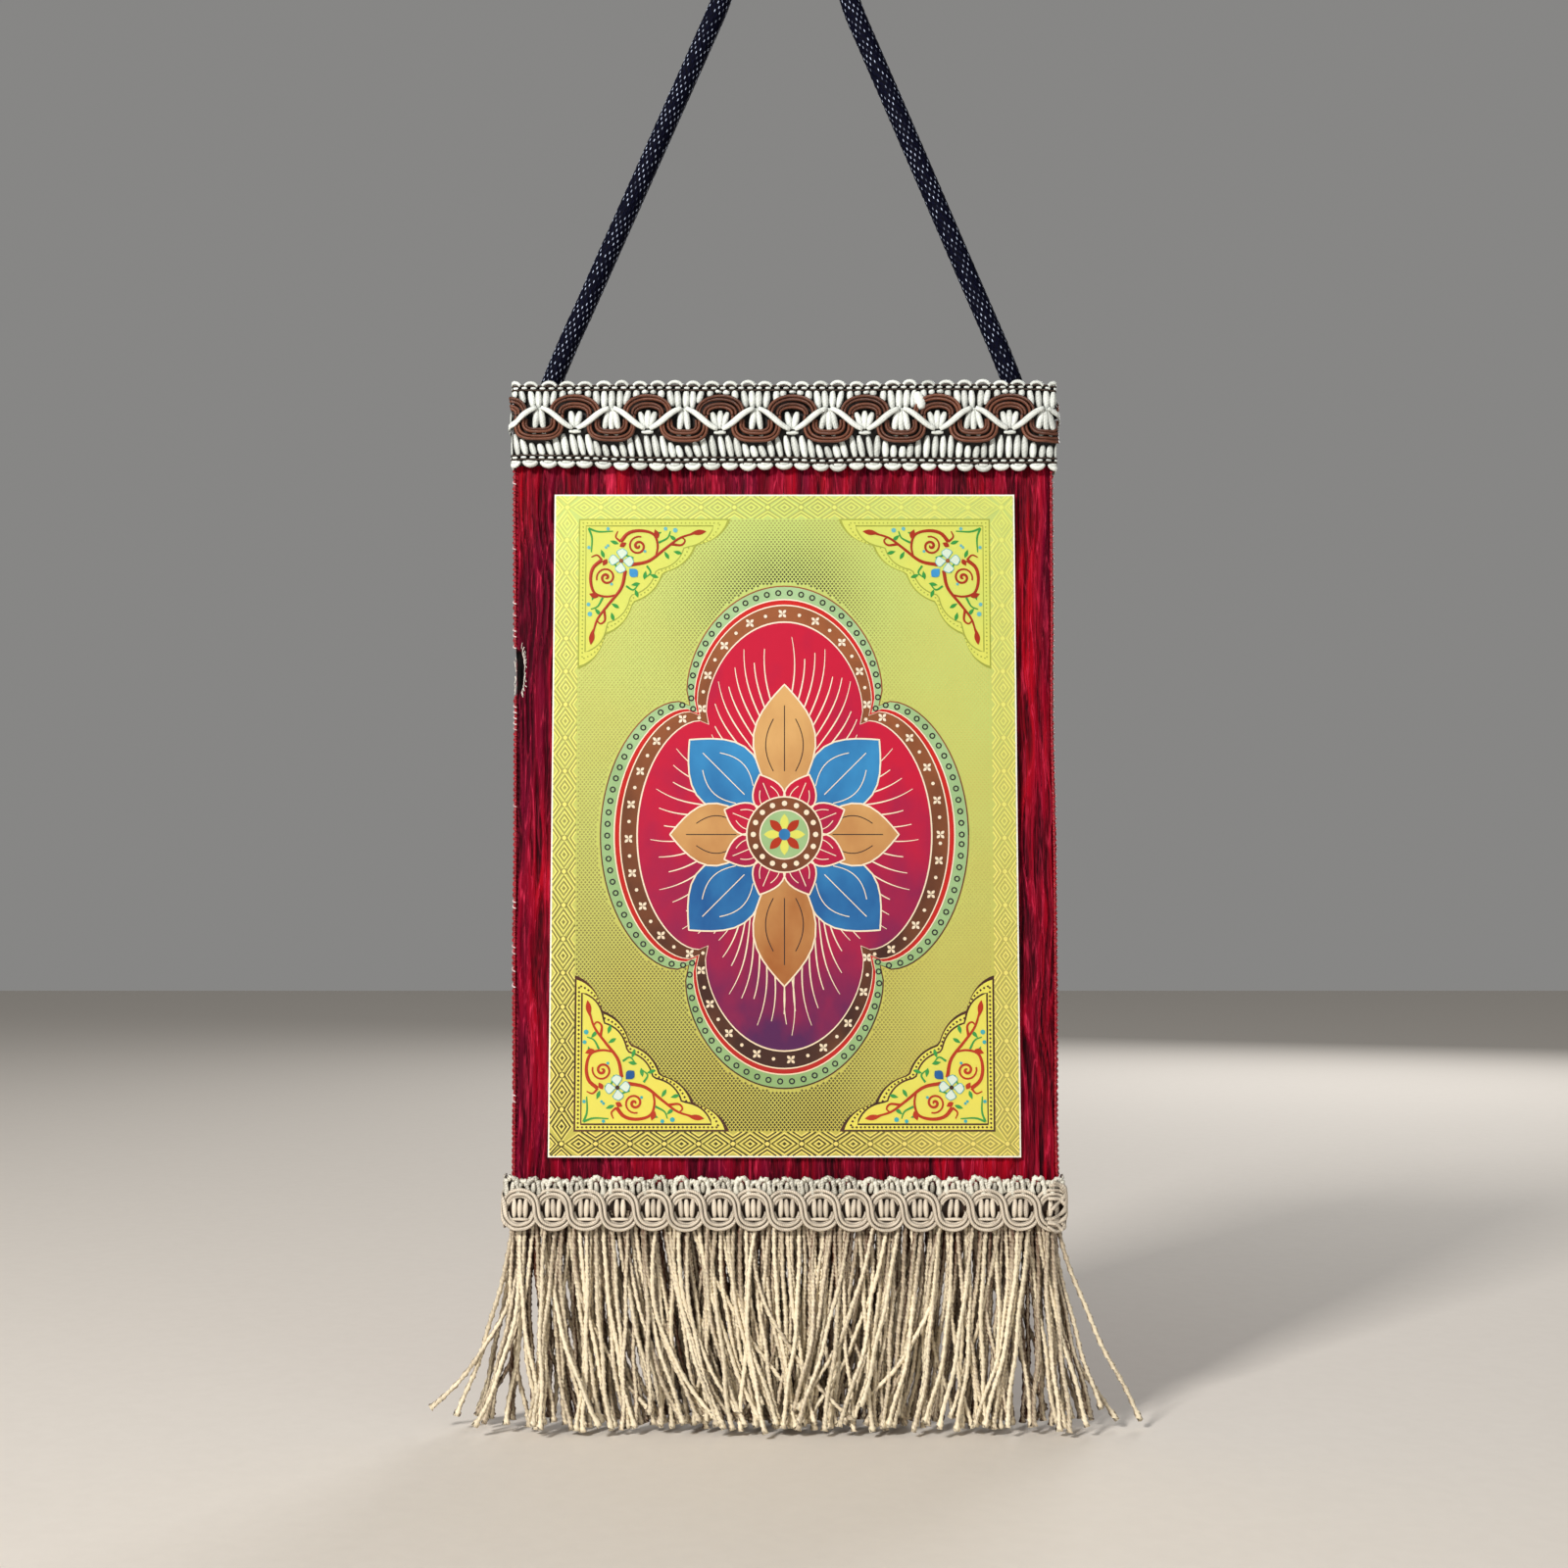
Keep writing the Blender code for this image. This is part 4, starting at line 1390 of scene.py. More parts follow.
@dataclass
class FringeHeader(Trimming):
    """The braid at the fringe's head: knobbly picots over a chain of round loops in doubled cord."""

    loop_pitch: float = 7.3
    loop_phase: float = 0.6
    loop_height: float = 4.25
    picot_pitch: float = 4.6
    cord_radius: float = 0.42
    cord_gap: float = 0.46  # half the distance between the two cords of a pair

    NODE = "fringe_header"
    SEED = 41
    INSET = 1.4
    BACK_RUN = 8.0
    END_GAP = 1.0
    # How much painted shade darkens the backs of its cords.
    SHADE = 0.9
    CREAM, IVORY, GROUND = 0, 1, 2  # slots of its finishes

    # The turned and bundled cords of the right end, from the last loop's middle
    KNOT = (
        ((-1.2, 5.4), (1.0, 5.3), (2.2, 3.4), (0.6, 1.4), (-0.8, 0.2)),
        ((-0.4, 6.2), (1.8, 5.0), (2.4, 2.0), (1.6, -0.6), (-0.8, -1.8)),
        ((-1.6, 2.6), (1.2, 2.2), (2.6, -0.6), (1.0, -2.6), (-1.6, -2.4)),
        ((-2.0, -1.8), (0.6, -2.2), (2.0, -3.6), (0.4, -4.6), (-1.8, -3.4)),
        ((-1.8, -2.6), (0.2, -3.0), (1.6, -4.4)),
    )

    @property
    def loop_z(self) -> float:
        """The height of the loops' middles."""
        return self.foot + self.loop_height + self.cord_radius + 0.1

    def picots(self) -> None:
        """Crimped ivory knobs along the upper edge, large and small in turn."""
        rng, count, base, first = self.rng, 21, self.top - 3.3, 0.4
        angle = np.linspace(-0.1, 1.1, count) * math.pi
        radius = 0.55 * (1 + 0.2 * np.sin(np.linspace(0, TURN * 5.5, count)))
        for x in self.spots(self.picot_pitch / 2, first):
            large = round((x - first) / (self.picot_pitch / 2)) % 2 == 0
            half = rng.uniform(1.15, 1.4) if large else rng.uniform(0.6, 0.8)
            tall = rng.uniform(2.2, 2.7) if large else rng.uniform(1.5, 2.0)
            x = x + rng.normal(0, 0.18)
            crimp = 1 + 0.09 * np.sin(np.linspace(0, TURN * rng.uniform(3.5, 5.5), count))
            path = rows(
                x + half * bent(np.cos(angle), 0.8) * crimp,
                -(1.5 if large else 1.0) - 0.15 * np.sin(angle * 5),
                base + tall * bent(np.sin(angle), 0.7) * crimp,
            )
            self.put(tube(path, radius, 7, turns=1.5, lobes=0.14), rng.uniform(0.45, 1.0), self.IVORY)
            if large:
                end = (x + rng.normal(0, 0.2), -1.3, base + 1.7)
                self.put(grain((x, -1.0, base - 0.8), end, 1.25, 0.7, 7, 8), rng.uniform(0.2, 0.7), self.IVORY)

    def wave(self, sign: int) -> np.ndarray:
        """One run of the loops' cord, over one loop and under the next.

        Args:
            sign: 1 for the run that starts above, or -1.

        Returns:
            The run's points, worked flat.
        """
        reach = self.half_length - 0.5
        x = np.linspace(-reach, reach, 1400)
        phase = math.pi * (x - self.loop_phase) / self.loop_pitch
        uneven = 0.22 * self.sway.at(x / 11, sign * 3.3)
        height = np.cos(phase) * (self.loop_height - self.cord_gap) + uneven
        return rows(
            x + self.loop_pitch * 0.128 * np.sin(2 * phase) + uneven,
            -(1.75 + sign * 0.5 * np.sin(phase)),
            self.loop_z + sign * height,
        )

    def loops(self) -> None:
        """The chain of round loops, each run two cords side by side."""
        for sign in (1, -1):
            run = spaced(self.wave(sign), 1150)
            step = unit(np.gradient(run, axis=0))
            across = unit(rows(-step[:, 2], 0.0, step[:, 0]))
            for side in (-1, 1):
                self.put(tube(run + across * side * self.cord_gap, self.cord_radius, 7), 0.62, self.CREAM)

    def filling(self) -> None:
        """The upright grains in each loop, the cord under them and the inner ring."""
        rng, middle = self.rng, self.loop_z
        for x in self.spots(self.loop_pitch, self.loop_phase):
            for step in (-1, 0, 1) if rng.random() < 0.7 else (-0.55, 0.55):
                lean = rng.normal(0, 0.1)
                start, end = (x + 1.28 * step + lean, -1.5, middle - 1.65), (x + 1.22 * step - lean, -1.5, middle + 2.3)
                self.put(grain(start, end, 1.22, 0.75), rng.uniform(0.5, 0.95), self.CREAM)
            start, end = (x - 2.0, -1.7, middle - 2.0), (x + 2.0, -1.7, middle - 2.0)
            self.put(grain(start, end, 0.8, 0.9, 7, 9), rng.uniform(0.55, 0.85), self.CREAM)
            for first, last in ((1.04, 1.96), (0.12, 0.88)):
                angle = np.linspace(first, last, 15) * math.pi
                ring = rows(x + 2.75 * np.cos(angle), -1.35, middle - 0.1 + 2.95 * np.sin(angle))
                self.put(tube(ring, 0.36, 6), rng.uniform(0.4, 0.7), self.CREAM)

    def knot(self) -> None:
        """The cords' turned and bundled right end."""
        for route in self.KNOT:
            x, z = smooth_path([(self.half_width - 1.5 + x, self.loop_z + z) for x, z in route], 24).T
            path = rows(x, -self.rng.uniform(2.2, 3.0), z)
            self.put(tube(path, self.cord_radius, 7), self.rng.uniform(0.5, 0.8), self.CREAM)

    def build(self) -> None:
        """Makes the header."""
        self.tape(self.foot + 1.6, self.top - 2.6, 0.6, 0.3, self.GROUND)
        self.picots()
        self.filling()
        self.loops()
        self.knot()
        finishes = (
            ThreadFinish("silver_cream_cord", (54, 32, 16), (248, 234, 212), plies=3.0, pitch=1.5, roughness=0.34,
                         groove=0.05, groove_shade=0.3, fibre_colour=1.2),
            ThreadFinish("ivory_crimp", (66, 50, 32), (246, 242, 226), plies=3.0, pitch=1.2, roughness=0.4,
                         groove=0.05, groove_shade=0.4, fibre_colour=1.2),
            ThreadFinish("brown_ground", (28, 12, 6), (84, 54, 32)),
        )
        self.pile.hang("fringe_header_work", [finish.make() for finish in finishes], "silver_cream_braid",
                       "fringe_header")


# The fringe


class Layer(NamedTuple):
    """One layer of the fringe: how many threads, how far forward they are at root and foot, and how light, which is
    lower for the layers further back as painted shade.
    """

    name: str
    count: int
    root_y: float
    foot_y: float
    shade: float


@dataclass
class Fringe:
    """Several layers of twisted yarn that lean, cross and splay towards their feet."""

    thread_radius: float = 0.56
    thread_sides: int = 6
    ring_step: float = 0.8
    twist: float = 5.2
    root_rise: float = 4.5  # how far the threads reach up behind the header
    floor_gap: float = 0.3
    half_width: float = 59.6
    widest: float = 67.0  # how far out the threads' feet may be, apart from the strays

    # The last column is painted shade, lower for the layers further back.
    LAYERS = (
        Layer("front", 92, -3.9, -7.4, 0.95),
        Layer("second", 98, -3.1, -4.2, 0.75),
        Layer("third", 104, -2.2, -0.8, 0.45),
        Layer("back", 104, -1.2, 2.8, 0.3),
    )

    # Loose threads at the sides, which go with the second layer: root x, foot x, foot height above the floor
    STRAYS = (
        (-59.6, -77.0, 4.0), (-59.2, -71.2, 2.5), (-58.6, -67.7, 1.0), (-57.8, -65.0, 0.5),
        (57.6, 63.4, 1.5), (58.6, 69.0, 4.0), (59.3, 73.2, 1.0), (59.6, 78.4, 1.0),
    )

    def __post_init__(self) -> None:
        """Reads the fringe's place from the frame."""
        self.floor = box("fringe")[0][2] + self.floor_gap
        self.root = box("fringe_header")[0][2]
        self.rng = np.random.default_rng(51)

    def lean(self, x: float) -> float:
        """How far the threads drift sideways on their way down.

        Args:
            x: Where their roots are.

        Returns:
            The drift.
        """
        share = x / self.half_width
        inward = (-10.5 if x < 0 else -5.5) * math.sin(math.pi * np.clip(share, -1, 1)) * (1 - abs(share) ** 4)
        return inward + 5.5 * max(0.0, (abs(share) - 0.88) / 0.12) * math.copysign(1, share)

    def thread(self, pile: Pile, start: tuple, end: tuple, bow: float, shade: float, spread: tuple) -> None:
        """Adds one twisted thread with a flared cut end, with painted shade on its back and just under the header.

        Args:
            pile: Where it goes.
            start: Its root.
            end: Its tip.
            bow: How far it bends sideways on the way.
            shade: How light it is; lower for the layers further back, as painted shade.
            spread: The least and most that its own shade adds.
        """
        drop = start[2] - end[2]
        share = np.linspace(0.0, 1.0, max(12, round(drop / self.ring_step)))
        wobble = bow * np.sin(math.pi * share) + 0.3 * np.sin(TURN * (share * 2.6 + bow)) * share
        path = rows(
            start[0] + (end[0] - start[0]) * share ** (1.35 + 0.5 * abs(bow)) + wobble,
            start[1] + (end[1] - start[1]) * share**1.3 + 0.4 * bow * np.sin(TURN * share),
            start[2] - drop * share,
        )
        flare = np.clip(1 - (1 - share) * drop / 2.6, 0.0, 1.0)
        radius = self.thread_radius * (1 + 0.55 * flare**1.5)
        radius[-1] *= 0.9
        phase = self.rng.random()
        made = tube(path, radius, self.thread_sides, turns=drop / self.twist, lobes=0.2, phase=phase)
        height = made.points[:-2, 2].reshape(-1, self.thread_sides).mean(axis=1)
        # Painted shade just under the header, and on each thread's back.
        under = np.clip(1 - (self.root - height) / 14, 0.0, 1.0)
        tone = shade + self.rng.uniform(*spread) - 0.4 * under
        pile.add(made._replace(lay=made.lay + [0.0, 40 * phase]), painted_back_shade(made, tone, 0.9))

    def layer(self, layer: Layer, finish: bpy.types.Material) -> None:
        """Makes one layer.

        Args:
            layer: Which one.
            finish: What it wears.
        """
        rng, pile, root_z = self.rng, Pile(), self.root + self.root_rise
        for i in range(layer.count):
            x = -self.half_width + 2 * self.half_width * (i + 0.5) / layer.count + rng.normal(0, 0.22)
            drift = self.lean(x) + rng.normal(0, 3.6)
            if rng.random() < 0.16:
                drift += rng.choice([-1, 1]) * rng.uniform(6, 13)
            short = abs(drift) * 0.1 + abs(rng.normal(0, 0.7))
            if rng.random() < 0.1:
                short += rng.uniform(1, 5)
            start = (x, layer.root_y + rng.normal(0, 0.25), root_z)
            reach = np.clip(x + drift, -self.widest, self.widest)
            end = (reach, layer.foot_y + rng.normal(0, 1.5), self.floor + short)
            self.thread(pile, start, end, rng.normal(0, 1.1), layer.shade, (-0.3, 0.3))
        for root_x, foot_x, rise in self.STRAYS if layer is self.LAYERS[1] else ():
            end = (foot_x, rng.uniform(-4, 4), self.floor + rise)
            self.thread(pile, (root_x, layer.root_y, root_z), end, rng.uniform(-2, 2), 0.0, (0.7, 1.0))
        pile.hang(f"fringe_{layer.name}", [finish], "cream_thread", "fringe")

    def build(self) -> None:
        """Makes every layer."""
        yarn = ThreadFinish("cream_yarn", (88, 42, 16), (255, 240, 208), pitch=self.twist, roughness=0.4, groove=0.08,
                            groove_shade=0.4, fibre_colour=1.0).make()
        for layer in self.LAYERS:
            self.layer(layer, yarn)


# The card


class Ink(Enum):
    """The card's inks: name, colours at foot and head, how far inside the card they end, and how metallic they are."""

    CRIMSON = ("crimson_ink", (86, 24, 84), (206, 12, 56), 20.0, 60.0)
    BLUE = ("blue_ink", (10, 72, 142), (64, 160, 220), 30.0, 30.0)
    UMBER = ("umber_ink", (64, 32, 22), (160, 92, 52), 30.0, 30.0)
    OCHRE = ("ochre_ink", (168, 98, 44), (228, 178, 112), 30.0, 40.0)
    GREEN = ("pale_green_ink", (150, 186, 120), (186, 222, 166), 0.0, 0.0, 0.3)
    CREAM = ("cream_ink", (250, 226, 190), (255, 246, 226), 0.0, 0.0, 0.2)
    RED = ("red_ink", (186, 30, 20), (216, 34, 30))
    ORANGE = ("orange_ink", (192, 52, 14), (168, 44, 16))
    LEAF = ("leaf_ink", (60, 160, 74), (52, 156, 66))
    MOSS = ("moss_line", (150, 156, 60), (172, 180, 74))
    SKY = ("sky_ink", (60, 176, 184), (110, 190, 200))
    WHITE = ("white_ink", (226, 240, 226), (222, 240, 220))
    NIGHT = ("dark_ink", (26, 22, 40), (40, 26, 22))
    LEMON = ("lemon_ink", (238, 226, 92), (216, 226, 108), 0.0, 0.0, 0.1)


class Drawing(Pile):
    """Raised work on the card's foil. Places are across and up from the card's middle."""

    LINE_RISE = 0.09  # a raised line's thickness as a share of its width
    FACE_SINK = 0.1  # how far the plain foil lies behind the card's front
    THICK = 0.05

    def __init__(self) -> None:
        """Reads the card's place from the frame."""
        super().__init__()
        self.low, self.high = box("picture_card")
        self.centre = (self.low + self.high)[[0, 2]] / 2
        self.half = (self.high - self.low)[[0, 2]] / 2
        self.face = self.low[1] + self.FACE_SINK

    def at(self, flat: np.ndarray, lift: float) -> np.ndarray:
        """Places on the card, lifted off its foil."""
        across, up = (self.centre + flat).T
        return rows(across, self.face - lift, up)

    def wear(self, shape: Shape, ink: Optional[Ink], tone: float) -> None:
        """Adds a shape in an ink, or in the pile's only finish."""
        self.add(shape, tone, 0 if ink is None else list(Ink).index(ink))

    def stroke(self, path: np.ndarray, width: Size, lift: float, ink: Optional[Ink] = None, tone: float = 1.0,
               closed: bool = False) -> None:
        """A raised line.

        Args:
            path: The places that it follows.
            width: Its full width, one number or one for each place.
            lift: How high its middle is.
            ink: What it wears.
            tone: How light it is.
            closed: Whether its end joins its start.
        """
        path = np.concatenate([path, path[:2]]) if closed else np.asarray(path)
        self.wear(tube(self.at(path, lift), width / 2, 4, self.LINE_RISE), ink, tone)

    def fill(self, outline: np.ndarray, lift: float, ink: Optional[Ink] = None, tone: float = 1.0,
             hub: Optional[np.ndarray] = None) -> None:
        """A raised flat shape.

        Args:
            outline: Its edge.
            lift: How high its face is.
            ink: What it wears.
            tone: How light it is.
            hub: The place that its face fans out from.
        """
        high = self.face - lift
        hub = None if hub is None else self.centre + hub
        self.wear(slab(self.centre + outline, high + self.THICK, high, hub), ink, tone)

    def dot(self, at: np.ndarray, radius: float, lift: float, ink: Optional[Ink] = None, tone: float = 1.0,
            sides: int = 8) -> None:
        """A small round dot."""
        self.fill(at + radius * circle(sides), lift, ink, tone)

    def studs(self, at: np.ndarray, radius: np.ndarray, rise: float, tone: np.ndarray) -> None:
        """Many small square pyramids.

        Args:
            at: Their places.
            radius: Half the width of each from corner to corner.
            rise: Their height above the foil.
            tone: How light each one is.
        """
        feet = self.at((at[:, None] + radius[:, None, None] * FOUR_WAYS).reshape(-1, 2), 0.015).reshape(-1, 4, 3)
        points = np.concatenate([feet, self.at(at, rise)[:, None]], axis=1).reshape(-1, 3)
        faces = np.array([[0, 1, 4], [1, 2, 4], [2, 3, 4], [3, 0, 4], [0, 2, 1], [0, 3, 2]])
        triangles = (5 * np.arange(len(at))[:, None, None] + faces).reshape(-1, 3)
        self.add(bare(points, NO_QUADS, triangles), np.repeat(tone, 5))


@dataclass
class PictureCard:
    """The stiff gilt card: an embossed border, a dotted ground, corner sprays and a floral medallion."""

    border: float = 5.3
    margin: float = 0.3
    diamonds_across: int = 13
    diamonds_up: int = 19
    dot_pitch: float = 0.86
    line: float = 0.34
    panel: float = 34.2  # the legs of a corner panel
    half_width: float = 41.0  # of the medallion
    half_height: float = 56.0
    drop: float = 3.0  # from the card's middle to the medallion's

    def __post_init__(self) -> None:
        """Reads the card's size from the frame and makes its inks."""
        self.half = Drawing().half
        self.inner = self.half - self.margin - self.border
        self.inks = [InkFinish(*ink.value).make() for ink in Ink]

    def plate(self) -> None:
        """The card itself: foil in front, white paper round its cut edges and behind."""
        work = Drawing()
        outline = np.array([[-1, -1], [1, -1], [1, 1], [-1, 1]]) * self.half
        rim = outline * (1 - 0.35 / self.half)
        work.add(slab(work.centre + outline, work.high[1], work.face + 0.02), 1.0, 1)
        work.add(slab(work.centre + rim, work.face + 0.04, work.face - 0.02), 1.0, 0)
        # The foil's change from foot to head is partly painted reflection.
        foil = FoilFinish("gilt_foil", (202, 190, 88), (202, 220, 124))
        paper = InkFinish("white_paper_edge", (250, 248, 232), (252, 250, 238), metallic=0.0, roughness=0.6)
        work.hang("card_plate", [foil.make(), paper.make()], "gilt_card", "picture_card", smooth=False)

    def hollow_shade(self, at: np.ndarray) -> float:
        """How much painted shade the embossing's hollows get, standing in for shade and reflection: faint at the upper
        right, strong at the foot.

        Args:
            at: A place on the card.

        Returns:
            A number from 0 to 1.
        """
        up = (at[1] + self.half[1]) / (2 * self.half[1])
        crown = 0.62 * math.exp(-((at[0] / 24) ** 2) - ((up - 0.85) / 0.12) ** 2)
        right = 1 - 0.45 * np.clip((at[0] - 10) / 25, 0.0, 1.0)
        return float(np.clip((0.98 - 0.74 * up + crown) * right, 0.1, 0.95))

    def diamond(self, work: Drawing, at: np.ndarray, half: np.ndarray) -> None:
        """Nested diamonds.

        Args:
            work: Where they go.
            at: Their middle.
            half: Half the width and height of the outermost.
        """
        for scale in (0.9, 0.57, 0.24):
            # The inset line is painted shade beside each raised line.
            for inset, lift, tone in ((0.0, 0.08, 1.0), (0.165, 0.05, 1 - self.hollow_shade(at))):
                work.stroke(at + FOUR_WAYS * half * (scale - inset), self.line, lift, tone=tone, closed=True)

    def junction(self, work: Drawing, at: np.ndarray, half: np.ndarray, run: int, sides: tuple) -> None:
        """A ringed dot between two diamonds, with nested corners beside it.

        Args:
            work: Where it goes.
            at: Its middle.
            half: Half the width and height of a diamond.
            run: Which way the border runs, 0 across or 1 up.
            sides: Which sides have nested corners, -1 or 1 or both.
        """
        # The dark ring round each dot and the dark corner lines are painted shade.
        deep, inside = 1 - self.hollow_shade(at), len(sides) == 2
        step, aside = np.eye(2)[run] * half[run], np.eye(2)[1 - run] * half[1 - run]
        if run == 0 or inside:
            work.dot(at, 0.78, 0.09, tone=deep)
            work.dot(at, 0.48, 0.13)
        for side in sides:
            for reach, tone in ((0.84, deep), (0.68, 1.0), (0.52, deep), (0.36, 1.0)):
                spread = reach * (1.0 if inside else 0.72)
                corner = [at + step * way * spread + side * aside * (0.97 if way else 0.97 - reach * 0.92)
                          for way in (-1, 0, 1)]
                work.stroke(corner, self.line, 0.055 + 0.01 * tone, tone=tone)

    def embossing(self) -> None:
        """The diamond border and the dotted ground."""
        work, middle = Drawing(), self.inner + self.border / 2
        for run, count in enumerate((self.diamonds_across, self.diamonds_up)):
            pitch = 2 * middle[run] / count
            half = np.full(2, self.border / 2)
            half[run] = pitch / 2
            for side in (-1, 1):
                for i in range(count + 1):
                    at = np.zeros(2)
                    at[run], at[1 - run] = -middle[run] + i * pitch, side * middle[1 - run]
                    self.junction(work, at, half, run, (-1, 1) if 0 < i < count else (side,))
                    if i < count:
                        self.diamond(work, at + np.eye(2)[run] * pitch / 2, half)
        self.ground(work)
        # The near-black hollow colour is painted shade.
        relief = FoilFinish("gilt_relief", (248, 230, 122), (230, 238, 124), roughness=0.44, recess_shade=(30, 18, 2))
        work.hang("card_embossing", [relief.make()], "gilt_card", smooth=False)

    def ground(self, work: Drawing) -> None:
        """The close dotted net between the border and the medallion.

        Args:
            work: Where it goes.
        """
        reach = self.inner - 0.4
        rise = self.dot_pitch * 0.62
        at = np.concatenate([
            rows(np.arange(row % 2 * self.dot_pitch / 2 - reach[0], reach[0], self.dot_pitch), row * rise - reach[1])
            for row in range(int(2 * reach[1] / rise) + 1)
        ])
        x, z = ((at + [0.0, self.drop]) / [self.half_width + 0.8, self.half_height + 0.8]).T
        at = at[np.hypot(x, z) >= self.lobed(np.arctan2(z, x))]
        at = at[((self.inner - np.abs(at)) / self.panel).sum(axis=1) > 0.9]
        # The darker studs are painted shade, strongest at the foot.
        dark = np.array([self.hollow_shade(place) for place in at])
        work.studs(at, 0.27 + 0.1 * dark, 0.055, 1 - dark)

    def panel_edge(self, inset: float) -> np.ndarray:
        """A corner panel's scalloped edge.

        Args:
            inset: How far inside its outline the edge runs.

        Returns:
            The edge, as across and up from its corner.
        """
        leg = self.panel - inset * (1 + math.sqrt(2))
        t = np.linspace(0, 1, 50)
        bulge = 1.05 * np.abs(np.sin(5 * math.pi * t)) ** 0.8 - 1.5 * np.sin(math.pi * t)
        long_side = rows(leg + (inset - leg) * t + bulge, inset + (leg - inset) * t + bulge)
        return np.concatenate([[[inset, inset]], long_side])

    # Half of a corner spray, as across and up from its corner: the widths at the ends of its scrolls and their routes,
    # the routes of its stems, and its buds, leaves and berries
    SCROLLS = (
        ((0.8, 0.4), ((9.4, 8.2), (13.0, 7.4), (16.4, 4.8), (19.4, 2.6), (22.6, 1.6))),
        ((0.4, 0.85), ((14.4, 6.6), (14.8, 4.2), (14.0, 1.9), (11.4, 1.1), (8.8, 1.6), (7.2, 3.4))),
        ((0.6, 0.3), ((17.6, 3.9), (19.6, 4.1), (20.4, 3.2), (19.7, 2.4))),
        ((0.5, 0.25), ((7.2, 3.4), (6.2, 2.4), (6.6, 1.2))),
    )
    STEMS = (
        ((0.6, 0.6), (2.6, 1.3), (5.6, 1.2)),
        ((15.0, 3.6), (16.8, 2.6), (17.4, 1.2)),
        ((9.8, 6.8), (8.0, 6.0), (7.6, 4.8)),
        ((12.6, 8.4), (13.4, 9.8), (12.4, 10.8)),
    )
    BUDS = ((3.4, 1.1, -8, (21.4, 1.7), 0.17), (2.0, 1.1, 70, (14.2, 0.8), 0.18), (1.6, 1.0, 150, (8.4, 3.6), 0.18))
    LEAVES = ((17.2, 2.0, 40), (16.2, 5.4, 60), (18.0, 5.4, 15), (12.4, 9.4, 100), (5.0, 3.2, 20), (15.6, 1.4, 160),
              (13.2, 10.2, 20))
    BERRIES = ((16.4, 0.7, 0.45), (18.4, 1.0, 0.55), (4.6, 0.7, 0.4), (4.2, 4.6, 0.32), (6.6, 5.6, 0.3),
               (12.2, 5.4, 0.34))

    def spray(self, work: Drawing, way: np.ndarray) -> None:
        """One corner panel with its flower, scrolls, leaves and dots.

        Args:
            work: Where it goes.
            way: Its corner: 1 or -1 for right or left, and for top or foot.
        """
        def put(places: np.ndarray) -> np.ndarray:
            """Places given as across and up from the corner."""
            return (self.inner - places) * way

        ink, strong = (Ink.UMBER, 1.35) if way[1] < 0 else (Ink.MOSS, 1.0)
        hub = put(np.array([3.0, 3.0]))
        work.fill(put(self.panel_edge(0.0)), 0.06, ink, hub=hub)
        work.fill(put(self.panel_edge(0.3 * strong)), 0.08, Ink.LEMON, hub=hub)
        work.stroke(put(self.panel_edge(1.6)), 0.28 * strong, 0.1, ink, closed=True)
        edge = self.panel_edge(0.95)
        for place in spaced(np.concatenate([edge, edge[:1]]), 118)[:-1]:
            work.dot(put(place), 0.22 * strong, 0.13, ink, sides=4)
        for order in (1, -1):
            def arm(places: np.ndarray) -> np.ndarray:
                """The same places, a little enlarged, along one side or the other."""
                return put(1.5 + 1.1 * np.asarray(places)[..., ::order])

            for widths, route in self.SCROLLS:
                work.stroke(arm(smooth_path(route, 20)), np.linspace(*widths, 20), 0.16, Ink.ORANGE)
            angle = np.linspace(0.2, 3.6 * math.pi, 34)
            swirl = rows(10.8 + 0.18 * angle * np.cos(angle), 4.3 + 0.18 * angle * np.sin(angle))
            work.stroke(arm(swirl), np.linspace(0.7, 0.35, 34), 0.16, Ink.ORANGE)
            for *shape, lift in self.BUDS:
                work.fill(arm(petal(*shape)), lift, Ink.ORANGE)
            for route in self.STEMS:
                work.stroke(arm(smooth_path(route, 10)), np.linspace(0.5, 0.25, 10), 0.15, Ink.LEAF)
            for x, z, turn in self.LEAVES:
                work.fill(arm(petal(1.9, 0.75, turn, (x, z))), 0.14, Ink.LEAF)
            for x, z, radius in self.BERRIES:
                work.dot(arm((x, z)), radius, 0.15, Ink.SKY)
        for turn in (0, 90, 180, 270):
            edge = put(petal(2.8, 2.3, turn + 6, (9.6, 9.6), 0.68))
            work.fill(edge, 0.2, Ink.WHITE)
            work.stroke(edge, 0.16, 0.2, Ink.SKY, closed=True)
        work.dot(put(np.array([9.6, 9.6])), 0.5, 0.26, Ink.UMBER)
        work.fill(put(petal(2.6, 2.1, 45, (11.4, 11.4))), 0.22, Ink.BLUE)

    def corners(self) -> None:
        """The four corner sprays."""
        work = Drawing()
        for right in (-1, 1):
            for top in (-1, 1):
                self.spray(work, np.array([right, top]))
        work.hang("card_corners", self.inks, "gilt_card", smooth=False)

    def lobed(self, angle: Size) -> Size:
        """The four-lobed shape's reach in each direction, as a share of its greatest."""
        return 0.73 + 0.27 * np.abs(np.cos(2 * angle)) ** 0.62

    def rim(self, angle: Size, shrink: float = 0.0) -> np.ndarray:
        """The medallion's edge.

        Args:
            angle: Directions from its middle.
            shrink: How far inside its outline the edge runs.

        Returns:
            Its places, from its middle.
        """
        reach = self.lobed(angle)
        wide, tall = self.half_width - shrink, self.half_height - shrink
        return rows(wide * reach * np.cos(angle), tall * reach * np.sin(angle))

